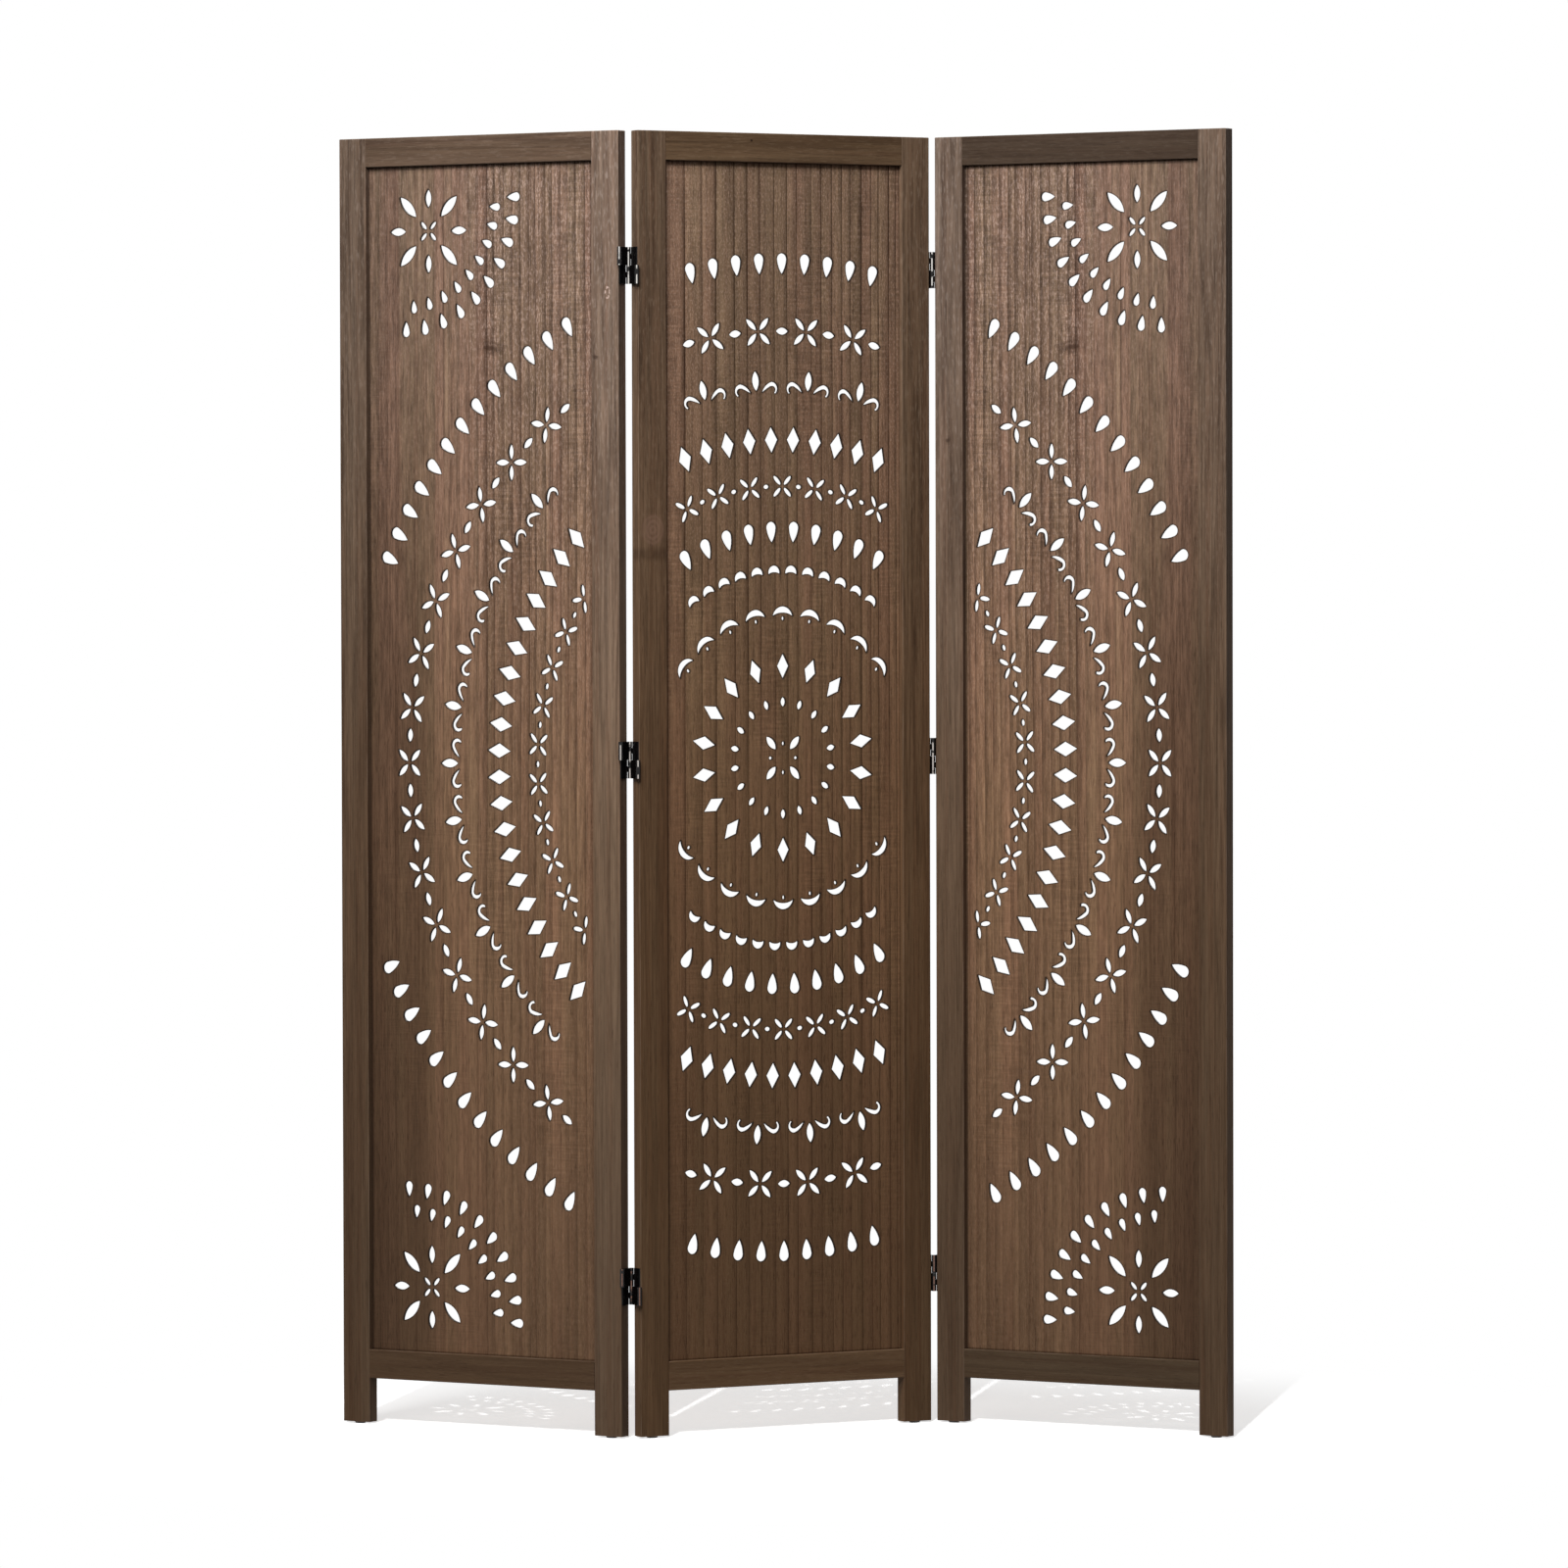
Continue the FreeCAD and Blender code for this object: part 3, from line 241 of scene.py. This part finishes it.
class Plank(Finish):
    """Stained wood of one panel. Places are measured in the panel, and grain runs along the plank.

    The right board is book-matched to the left one: its grain is the mirror image.
    """

    def __init__(self, name, panel, seed, lying=False, mirrored=False):
        super().__init__(f"{name}_wood")
        low, high = (Vector(corner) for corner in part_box(f"{panel}_panel_carved_board"))
        middle = (low + high) / 2
        unturn = Matrix.Rotation(-PANEL_TURN[panel], 3, "Z")
        centre = -(unturn @ Vector((middle.x, middle.y, 0)))
        self.turn = (0, 0, -PANEL_TURN[panel])
        spot = self.add("TexCoord", output="Object")
        spot = self.add("Mapping", {"Vector": spot, "Rotation": self.turn, "Location": centre})
        self.wide, self.deep, self.tall = self.split(spot)
        self.side = self.sum("MULTIPLY", self.wide, -1.0 if mirrored else 1.0)
        self.across, along = (self.tall, self.side) if lying else (self.side, self.tall)
        self.grain = self.add("CombineXYZ", {0: self.across, 1: self.deep, 2: along})
        self.seed = seed
        self.shift = tuple(np.random.default_rng(seed).uniform(-40, 40, 3))

    def veins(self, scale, detail=2.0, roughness=0.5):
        """A cloud stretched along the grain."""
        return self.cloud(self.stretch(self.grain, scale, self.shift), detail, roughness)

    def rings(self, width, bend, crowd, uneven):
        """Growth rings: how far through its ring a place is, and two chance numbers of that ring.

        The count of rings is the distance across the grain over the ring's width. A slow cloud
        sways it, depth leans it, a square term crowds the rings to one side, and a cloud across the
        grain makes them uneven.
        """
        lean, unevenness, first_ring = 0.6, 38.0, 100.0
        sway = self.sum("SUBTRACT", self.veins((5, 5, 0.8)), 0.5)
        straight = self.graded(sway, bend, self.across)
        straight = self.graded(self.deep, lean, straight)
        crowded = self.graded(self.times(straight, straight), crowd, straight)
        spread = self.add("CombineXYZ", {0: self.graded(crowded, unevenness, self.shift[0])})
        count = self.graded(crowded, 1 / width, first_ring + self.seed)
        count = self.graded(self.cloud(spread, 1), uneven, count)
        ring = {"W": self.sum("FLOOR", count)}
        chance = self.add("TexWhiteNoise", ring, output=1, noise_dimensions="1D")
        first, second, _ = self.split(chance)
        return self.sum("FRACT", count), first, second

    def facing(self):
        """How squarely the surface faces along, through and up the panel."""
        way = self.add("TexCoord", output="Normal")
        way = self.add("Mapping", {"Vector": way, "Rotation": self.turn})
        return self.split(self.add("VectorMath", {0: way}, operation="ABSOLUTE"))

    def away_from(self, wide, tall, width, height):
        """Distance from a mark's middle: 1 on the oval that is width and height from it."""
        across = self.times(self.sum("SUBTRACT", self.side, wide), 1 / width)
        up = self.times(self.sum("SUBTRACT", self.tall, tall), 1 / height)
        return self.length(self.add("CombineXYZ", {0: across, 1: up}))

    def knotted(self, colour, name, dark):
        """A dark eye, the distance from its middle frayed by a cloud."""
        if name not in KNOTS:
            return colour
        away = self.away_from(*KNOTS[name])
        fray = self.graded(self.veins((70, 70, 200), 3), 1.6, -0.8)
        return self.blend(self.between(self.sum("ADD", away, fray), 0.1, 1.0, 0.7, 0), colour, dark)

    def stain_and_painted_light(self, colour, name, panel):
        """Tints the colour warm at the foot and cool grey at the head, the grey head being painted
        sheen, then by panel and piece, and scales it from the foot's to the head's brightness, which
        is partly painted light.
        """
        tint = self.blend(self.between(self.tall, TINT_FOOT, TINT_HEAD), WARM_FOOT, COOL_SHEEN_HEAD)
        colour = self.blend(1.0, colour, tint, "MULTIPLY")
        colour = self.blend(1.0, colour, PANEL_TINT[panel], "MULTIPLY")
        if name in PIECE_TINT:
            colour = self.blend(1.0, colour, PIECE_TINT[name], "MULTIPLY")
        # Painted light: the piece grows brighter from its foot to its head, as if lit from above.
        foot, head, settled = PAINTED_LIGHT_AND_TONE[name]
        return self.scaled(colour, self.between(self.tall, TONE_FOOT, settled, foot, head))

    def sealed(self, colour, height, gloss):
        """A thin coat of matt varnish over the grain's small heights."""
        return self.shade({
            "Base Color": colour,
            "Roughness": gloss,
            "Specular IOR Level": 0.08,
            "Normal": self.bump(height, 0.55, 0.00035),
        })


def board_ribs(wood, middle):
    """Ribs and dark lines of a board, two chance numbers of each slat, and where the ribs stand.

    A rib or line is a power of how far through its growth ring a place is, so it comes on slowly
    and stops short.
    """
    if middle:
        through, first, second = wood.rings(width=0.0185, bend=0.008, crowd=1.2, uneven=1.3)
        line = wood.times(wood.sum("POWER", through, 12.0), wood.graded(second, 0.8, 0.75))
        return wood.sum("POWER", through, 2.0), line, first, second, 1.0
    # Ribs stand on the half next to the middle panel, and the outer half is smooth
    through, first, second = wood.rings(width=0.0135, bend=0.016, crowd=0.3, uneven=1.0)
    thin, _, chance = wood.rings(width=0.034, bend=0.016, crowd=0.0, uneven=1.8)
    line = wood.times(wood.sum("POWER", thin, 26.0), wood.graded(chance, 0.9, 0.3))
    inner = wood.between(wood.side, -0.05, 0.03, 0.3, 1)
    return wood.times(wood.sum("POWER", through, 2.6), inner), line, first, second, inner


def scorched_and_shaded(wood, colour):
    """Burns the walls and rims of the cut-outs, and paints shade in strips where the board meets the
    frame.

    A rim is where a short look into the board meets a wall.
    """
    burnt, painted_shade = srgb(22, 13, 9), srgb(26, 16, 11)
    wall = wood.between(wood.facing()[1], 0.35, 0.8, 0.96, 0)
    look = {"Distance": 0.0023, "Normal": wood.add("NewGeometry", output="True Normal")}
    clear_of_walls = wood.add(
        "AmbientOcclusion", look, output="AO", inside=True, only_local=True, samples=4
    )
    rim = wood.between(clear_of_walls, 0.58, 0.99, 0.92, 0)
    colour = wood.blend(wood.sum("MAXIMUM", wall, rim), colour, burnt)
    # Painted shade: dark strips along the field's edges inside the frame, widest at the left edge.
    shade_beside_frame = (
        (wood.sum("ADD", wood.wide, FIELD_HALF), 0.0045, 0.7),
        (wood.sum("SUBTRACT", FIELD_HALF, wood.wide), 0.002, 0.55),
        (wood.sum("SUBTRACT", FIELD_HIGH, wood.tall), 0.0025, 0.7),
        (wood.sum("SUBTRACT", wood.tall, FIELD_LOW), 0.003, 0.55),
    )
    for gap, reach, share in shade_beside_frame:
        colour = wood.blend(wood.between(gap, 0.0005, reach, share, 0), colour, painted_shade)
    return colour


def board_wood(name, panel, seed):
    """Thin carved board. Dark lines part slats of olive and pink brown; side boards have ribs.

    Fibres, flecks, pores, bands and cross ripples are clouds stretched along or across the grain,
    and all of them show more clearly towards the head.
    """
    middle = panel == "middle"
    marks = BOARD_MARKS["middle" if middle else "side"]
    wood = Plank(name, panel, seed, mirrored=panel == "right")
    clear = wood.between(wood.tall, 0.1, 1.45, 0.4, 1.0)
    olive, pink, pale = srgb(140, 117, 95), srgb(147, 117, 98), srgb(202, 176, 160)
    red, dark = srgb(126, 98, 80), srgb(46, 29, 20)
    cloud = {mark: wood.veins(*billows) for mark, billows in BOARD_CLOUDS.items()}
    fleck = wood.between(cloud["fleck"], 0.45, 0.7)
    pore = wood.between(cloud["pore"], 0.58, 0.7)
    broken = wood.between(cloud["broken"], 0.3, 0.7, -1, 1)
    patch = wood.between(cloud["patch"], 0.46, 0.62)
    ripple = wood.times(wood.between(cloud["ripple"], 0.38, 0.66, -1, 1), patch)
    worn = wood.between(cloud["worn"], 0.3, 0.62, 0.45, 1)
    rib, line, first, second, inner = board_ribs(wood, middle)
    line = wood.sum("MINIMUM", wood.times(line, worn), 1.0)

    blush = wood.graded(first, 0.3, cloud["blush"])
    patchy = wood.graded(wood.between(blush, 0.45, 0.85, -0.5, 0.5), clear, 0.5)
    colour = wood.blend(patchy, olive, pink)
    colour = wood.scaled(colour, wood.graded(second, 0.16, 0.92))
    colour = wood.scaled(colour, wood.between(cloud["band"], 0.3, 0.7, marks["band"], 1.14))
    colour = wood.blend(wood.between(cloud["streak"], 0.42, 0.72, 0, 0.5), colour, red)
    fibres = wood.times(wood.between(cloud["fibre"], 0.38, 0.72, 0, 0.36), clear)
    colour = wood.blend(fibres, colour, dark)
    speckled = wood.times(wood.between(wood.tall, 0.75, 1.6, 0.1, marks["fleck"]), inner)
    colour = wood.blend(wood.times(fleck, speckled), colour, pale)
    colour = wood.blend(wood.times(rib, clear, marks["rib"]), colour, dark)
    colour = wood.blend(wood.times(line, clear, marks["line"]), colour, dark)
    colour = wood.blend(wood.times(pore, 0.35), colour, dark)
    waved = wood.times(ripple, clear, 0.13, inner)
    waved = wood.graded(wood.times(broken, clear), marks["broken"], waved)
    colour = wood.scaled(colour, wood.sum("ADD", waved, 1.0))
    colour = wood.knotted(colour, name, dark)
    if middle:
        # Both sides are paler than the middle, the right one less so
        off_middle = wood.sum("ABSOLUTE", wood.side)
        colour = wood.scaled(colour, wood.between(off_middle, 0.03, 0.15, 0.96, 1.1))
        colour = wood.scaled(colour, wood.between(wood.side, 0.03, 0.15, 1, 0.94))
    else:
        # The outer side is darker, and the inner side paler at its foot
        outer_tone = wood.between(wood.tall, 0.9, 1.4, 0.5, 0.76)
        inner_tone = wood.between(wood.tall, 0.2, 1.6, 1.25, 0.87)
        colour = wood.scaled(colour, wood.between(wood.side, -0.16, -0.03, outer_tone, 1))
        colour = wood.scaled(colour, wood.between(wood.side, 0.0, 0.1, 1, inner_tone))
    colour = scorched_and_shaded(wood, wood.stain_and_painted_light(colour, name, panel))

    height = wood.graded(cloud["fibre"], 0.5, wood.times(line, -1.6))
    height = wood.graded(rib, -0.6, height)
    height = wood.graded(pore, -0.7, height)
    height = wood.graded(ripple, 0.3, height)
    gloss = wood.graded(cloud["fibre"], 0.22, wood.graded(line, 0.2, 0.46))
    return wood.sealed(colour, height, gloss)


def chipped(wood, colour):
    """A curl of stain chipped off to pale wood: an oval line, broken by a cloud."""
    off_line = wood.sum("ABSOLUTE", wood.sum("SUBTRACT", wood.away_from(*CHIP), 0.7))
    kept = wood.between(wood.veins((260, 260, 200), 2), 0.48, 0.56)
    curl = wood.times(wood.between(off_line, 0.1, 0.3, 0.8, 0), kept)
    return wood.blend(curl, colour, srgb(206, 178, 160))


def healed(wood, colour, dark):
    """A healed knot: pale rings that fade outwards, a dark fold under them, and paler wood around.

    The rings are a cosine of the distance from the knot's middle, frayed by a cloud.
    """
    away = wood.away_from(*HEALED_KNOT)
    turns = wood.graded(wood.veins((110, 110, 60)), 5.0, wood.times(away, 22.0))
    ring = wood.graded(wood.sum("COSINE", turns), 0.16, 0.4)
    ring = wood.times(wood.between(away, 0.55, 1.05, 1, 0), ring)
    colour = wood.blend(ring, colour, srgb(164, 136, 124))
    off_fold = wood.sum("ABSOLUTE", wood.sum("SUBTRACT", wood.tall, FOLD_HEIGHT))
    fold = wood.between(off_fold, 0.002, 0.012, 0.42, 0)
    fold = wood.times(fold, wood.between(wood.veins((50, 50, 30)), 0.3, 0.6))
    colour = wood.blend(fold, colour, dark)
    return wood.scaled(colour, wood.between(off_fold, 0.06, 0.3, 1.14, 1))


def frame_wood(name, panel, kind, seed):
    """Planed stile or rail, smoother than the boards: soft wavy bands, streaks and fine fibres.

    A dark wave is the narrow middle of a slow cloud, so it wanders along the grain.
    """
    marks = FRAME_MARKS[kind]
    wood = Plank(name, panel, seed, lying=kind == "rail")
    clear = wood.between(wood.tall, 0.1, 1.45, 0.5, 1.0)
    # Painted sheen: the stiles' colours are paler than the rails', for the sheen their upright grain
    # catches.
    if kind == "rail":
        plain, pale, red = srgb(102, 83, 66), srgb(111, 92, 75), srgb(97, 75, 60)
    else:
        plain, pale, red = srgb(121, 100, 82), srgb(134, 114, 96), srgb(118, 90, 72)
    fleck_pale, dark, rubbed = srgb(158, 140, 124), srgb(52, 36, 27), srgb(150, 130, 113)
    cloud = {mark: wood.veins(*billows) for mark, billows in FRAME_CLOUDS.items()}
    fleck = wood.between(cloud["fleck"], 0.48, 0.74)
    pore = wood.between(cloud["pore"], 0.62, 0.72)
    broken = wood.between(cloud["broken"], 0.3, 0.7, -1, 1)
    off_wave = wood.sum("ABSOLUTE", wood.sum("SUBTRACT", cloud["wave"], 0.52))
    wave = wood.between(off_wave, 0.0, 0.05, 1, 0)

    colour = wood.blend(wood.between(cloud["band"], 0.32, 0.68), plain, pale)
    colour = wood.blend(wood.between(cloud["streak"], 0.42, 0.72, 0, 0.55), colour, red)
    colour = wood.blend(wood.times(wave, clear, 0.34), colour, dark)
    fibres = wood.times(wood.between(cloud["fibre"], 0.4, 0.72, 0, marks["fibre"]), clear)
    colour = wood.blend(fibres, colour, dark)
    speckled = wood.between(wood.tall, 0.8, 1.6, 0.08, marks["fleck"])
    colour = wood.blend(wood.times(fleck, speckled), colour, fleck_pale)
    colour = wood.blend(wood.times(pore, 0.3), colour, dark)
    colour = wood.scaled(colour, wood.graded(wood.times(broken, clear), marks["broken"], 1.0))
    colour = wood.knotted(colour, name, dark)
    if name == "left_panel_right_stile":
        colour = chipped(wood, colour)
    if name == "middle_panel_left_stile":
        colour = healed(wood, colour, dark)
    colour = wood.stain_and_painted_light(colour, name, panel)

    # Rubbed arrises are the rounded strips that face none of the three ways
    along, through, up = wood.facing()
    flat = wood.sum("MAXIMUM", along, wood.sum("MAXIMUM", through, up))
    rub = wood.between(flat, 0.72, 0.99, 1, 0)
    chafe = wood.between(cloud["chafe"], 0.35, 0.65, 0.1, 0.6)
    colour = wood.blend(wood.times(rub, chafe), colour, rubbed)
    # Painted shade: the side faces of the side panels' stiles are darkened, on the right panel only
    # towards the head. Those of the middle panel are painted lighter.
    edge = wood.between(along, 0.9, 0.99)
    if panel == "middle":
        colour = wood.scaled(colour, wood.graded(edge, 0.2, 1.0))
    else:
        shade = 0.45 if panel == "left" else wood.between(wood.tall, 0.1, 1.3, 0.05, 0.45)
        colour = wood.blend(wood.times(edge, shade), colour, dark)
    if name == "middle_panel_top_rail":
        # A filled nail hole
        nail = wood.between(wood.away_from(*NAIL), 1.2, 2.2, 0.85, 0)
        colour = wood.blend(nail, colour, srgb(30, 18, 12))

    height = wood.graded(cloud["fibre"], 0.5, wood.times(wave, -0.3))
    height = wood.graded(pore, -0.6, height)
    return wood.sealed(colour, height, wood.graded(cloud["fibre"], 0.22, 0.45))


def hinge_enamel(name, base, highlight_share):
    """Black stoved enamel with small ripples, and painted highlights: dashes of bright metal.

    They run up the front and back crest of every knuckle, where the surface faces along Y. Towards
    the floor the painted highlights are browner and darker.
    """
    enamel = Finish(name)
    spot = enamel.add("TexCoord", output="Object")
    ripple = enamel.cloud(enamel.stretch(spot, (900, 900, 500)), 2)
    along = enamel.sum("ABSOLUTE", enamel.split(enamel.add("TexCoord", output="Normal"))[1])
    # Painted highlights: bright metal dashes on the knuckles' crests, browner and darker towards the
    # floor.
    dash = enamel.between(enamel.cloud(enamel.stretch(spot, (60, 60, 130)), 1), 0.36, 0.46)
    bare = enamel.times(enamel.between(along, 0.95, 0.985), dash, highlight_share)
    height_share = enamel.between(enamel.split(spot)[2], 0.25, 1.3)
    metal = enamel.blend(height_share, srgb(120, 92, 80), srgb(226, 222, 216))
    return enamel.shade({
        "Base Color": enamel.blend(bare, base, metal),
        "Metallic": bare,
        "Roughness": enamel.graded(ripple, 0.1, 0.12),
        "Specular IOR Level": 0.3,
        "Normal": enamel.bump(ripple, 0.25, 0.00008),
    })


def dowel_wood():
    """Bare pale hardwood, turned: fine pores and soft bands, which are clouds stretched along X."""
    wood = Finish("dowel_wood")
    spot = wood.add("TexCoord", output="Object")
    band = wood.cloud(wood.stretch(spot, (20, 300, 300)), 2)
    pore = wood.cloud(wood.stretch(spot, (90, 1400, 1400)), 2, 0.6)
    banded = wood.blend(wood.between(band, 0.35, 0.65), srgb(196, 165, 128), srgb(176, 142, 104))
    return wood.shade({
        "Base Color": wood.blend(wood.between(pore, 0.55, 0.75, 0, 0.5), banded, srgb(122, 92, 62)),
        "Roughness": wood.graded(pore, 0.2, 0.55),
        "Normal": wood.bump(pore, 0.3, 0.0001),
    })


def glide_plastic():
    """Moulded dark plastic, scuffed in fine clouds."""
    plastic = Finish("glide_plastic")
    spot = plastic.add("TexCoord", output="Object")
    scuff = plastic.cloud(plastic.stretch(spot, (700, 700, 700)), 3, 0.6)
    scuffed = plastic.between(scuff, 0.4, 0.7)
    return plastic.shade({
        "Base Color": plastic.blend(scuffed, srgb(36, 30, 27), srgb(62, 54, 48)),
        "Roughness": plastic.graded(scuff, 0.2, 0.45),
        "Normal": plastic.bump(scuff, 0.3, 0.0001),
    })


def finish_nodes():
    """Gives every piece of the model its finish."""
    enamel = hinge_enamel("hinge_enamel", srgb(14, 12, 12), 1.0)
    screw_black = hinge_enamel("screw_black", srgb(24, 22, 21), 0.3)
    glide = glide_plastic()
    bare = dowel_wood()
    names = sorted(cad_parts)
    for name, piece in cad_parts.items():
        panel = next((p for p in PANEL_TURN if name.startswith(f"{p}_panel")), None)
        if not panel:
            material = screw_black if name.endswith("screws") else enamel
        elif name.endswith("board"):
            left_board = name.replace("right", "left")
            material = board_wood(name, panel, names.index(left_board) + 1)
        elif name.endswith("dowels"):
            material = bare
        elif name.endswith("glides"):
            material = glide
        else:
            material = frame_wood(name, panel, name.rsplit("_", 1)[1], names.index(name) + 1)
        for held in piece.material_slots:
            held.material = material


def white_floor():
    """A white floor that keeps a pale shadow near the screen."""
    ways = ((-1, -1), (1, -1), (1, 1), (-1, 1))
    corners = [(x * FLOOR_HALF, y * FLOOR_HALF, 0) for x, y in ways]
    mesh = bpy.data.meshes.new("floor")
    mesh.from_pydata(corners, [], [(0, 1, 2, 3)])
    floor = bpy.data.objects.new("floor", mesh)
    bpy.context.scene.collection.objects.link(floor)
    paint = Finish("floor_white")
    # The floor's shading leans to the front, so that only the front lamps draw a shadow on it
    lean = paint.add("CombineXYZ", {0: 0.0, 1: -0.94, 2: 0.34})
    grey = paint.add("BsdfDiffuse", {"Color": (0.25, 0.25, 0.25, 1), "Normal": lean})
    pale = paint.add("BsdfDiffuse", {"Color": (*[FLOOR_PALE] * 3, 1), "Normal": lean})
    glow = paint.add("Emission", {"Color": (1, 1, 1, 1), "Strength": FLOOR_GLOW})
    white = paint.add("Emission", {"Color": (1, 1, 1, 1), "Strength": 1.0})
    away = paint.length(paint.add("TexCoord", output="Object"))
    near = paint.add("AddShader", {0: glow, 1: pale})
    faded = paint.between(away, FADE_FROM, FADE_TO)
    shown = paint.add("MixShader", {0: faded, 1: near, 2: white})
    both = paint.add("MixShader", {0: paint.seen(), 1: grey, 2: shown})
    paint.add("OutputMaterial", {"Surface": both})
    mesh.materials.append(paint.material)


def studio_world():
    """Faint light from all round, and white where the camera sees past the floor."""
    world = bpy.data.worlds.new("studio")
    bpy.context.scene.world = world
    world.use_nodes = True
    studio = Mix(world.node_tree)
    room = studio.add("Background", {"Color": (1, 0.98, 0.95, 1), "Strength": 0.08})
    backdrop = studio.add("Background", {"Color": (1, 1, 1, 1), "Strength": 1.0})
    both = studio.add("MixShader", {0: studio.seen(), 1: room, 2: backdrop})
    studio.add("OutputWorld", {"Surface": both})


def studio_lamps():
    """A soft lamp at the front left, and far lamps in front and behind."""
    for name, (kind, strength, breadth, place, target) in LAMPS.items():
        data = bpy.data.lights.new(name, kind)
        data.energy = strength
        if kind == "AREA":
            data.shape = "SQUARE"
            data.size = breadth
        else:
            data.angle = math.radians(breadth)
        lamp = bpy.data.objects.new(name, data)
        lamp.location = place
        lamp.rotation_mode = "QUATERNION"
        lamp.rotation_quaternion = (Vector(target) - Vector(place)).to_track_quat("-Z", "Y")
        bpy.context.scene.collection.objects.link(lamp)


def photo_camera():
    """A long lens at breast height, turned and tipped a little as the photograph shows."""
    yaw, pitch, roll = (math.radians(angle) for angle in CAMERA_TURN)
    data = bpy.data.cameras.new("photo_camera")
    data.sensor_width = 36.0
    data.lens = FOCAL_PIXELS / FRAME_PIXELS * data.sensor_width
    data.clip_end = 200
    camera = bpy.data.objects.new("photo_camera", data)
    level = math.cos(pitch)
    ahead = Vector((-math.sin(yaw) * level, math.cos(yaw) * level, math.sin(pitch)))
    right = Vector((math.cos(yaw), math.sin(yaw), 0))
    up = right.cross(ahead)
    across = right * math.cos(roll) + up * math.sin(roll)
    upright = up * math.cos(roll) - right * math.sin(roll)
    turned = Matrix((across, upright, -ahead)).transposed().to_4x4()
    camera.matrix_world = Matrix.Translation(CAMERA_PLACE) @ turned
    bpy.context.scene.collection.objects.link(camera)
    bpy.context.scene.camera = camera


finish_nodes()
white_floor()
studio_world()
studio_lamps()
photo_camera()
bpy.context.scene.view_settings.view_transform = "Standard"
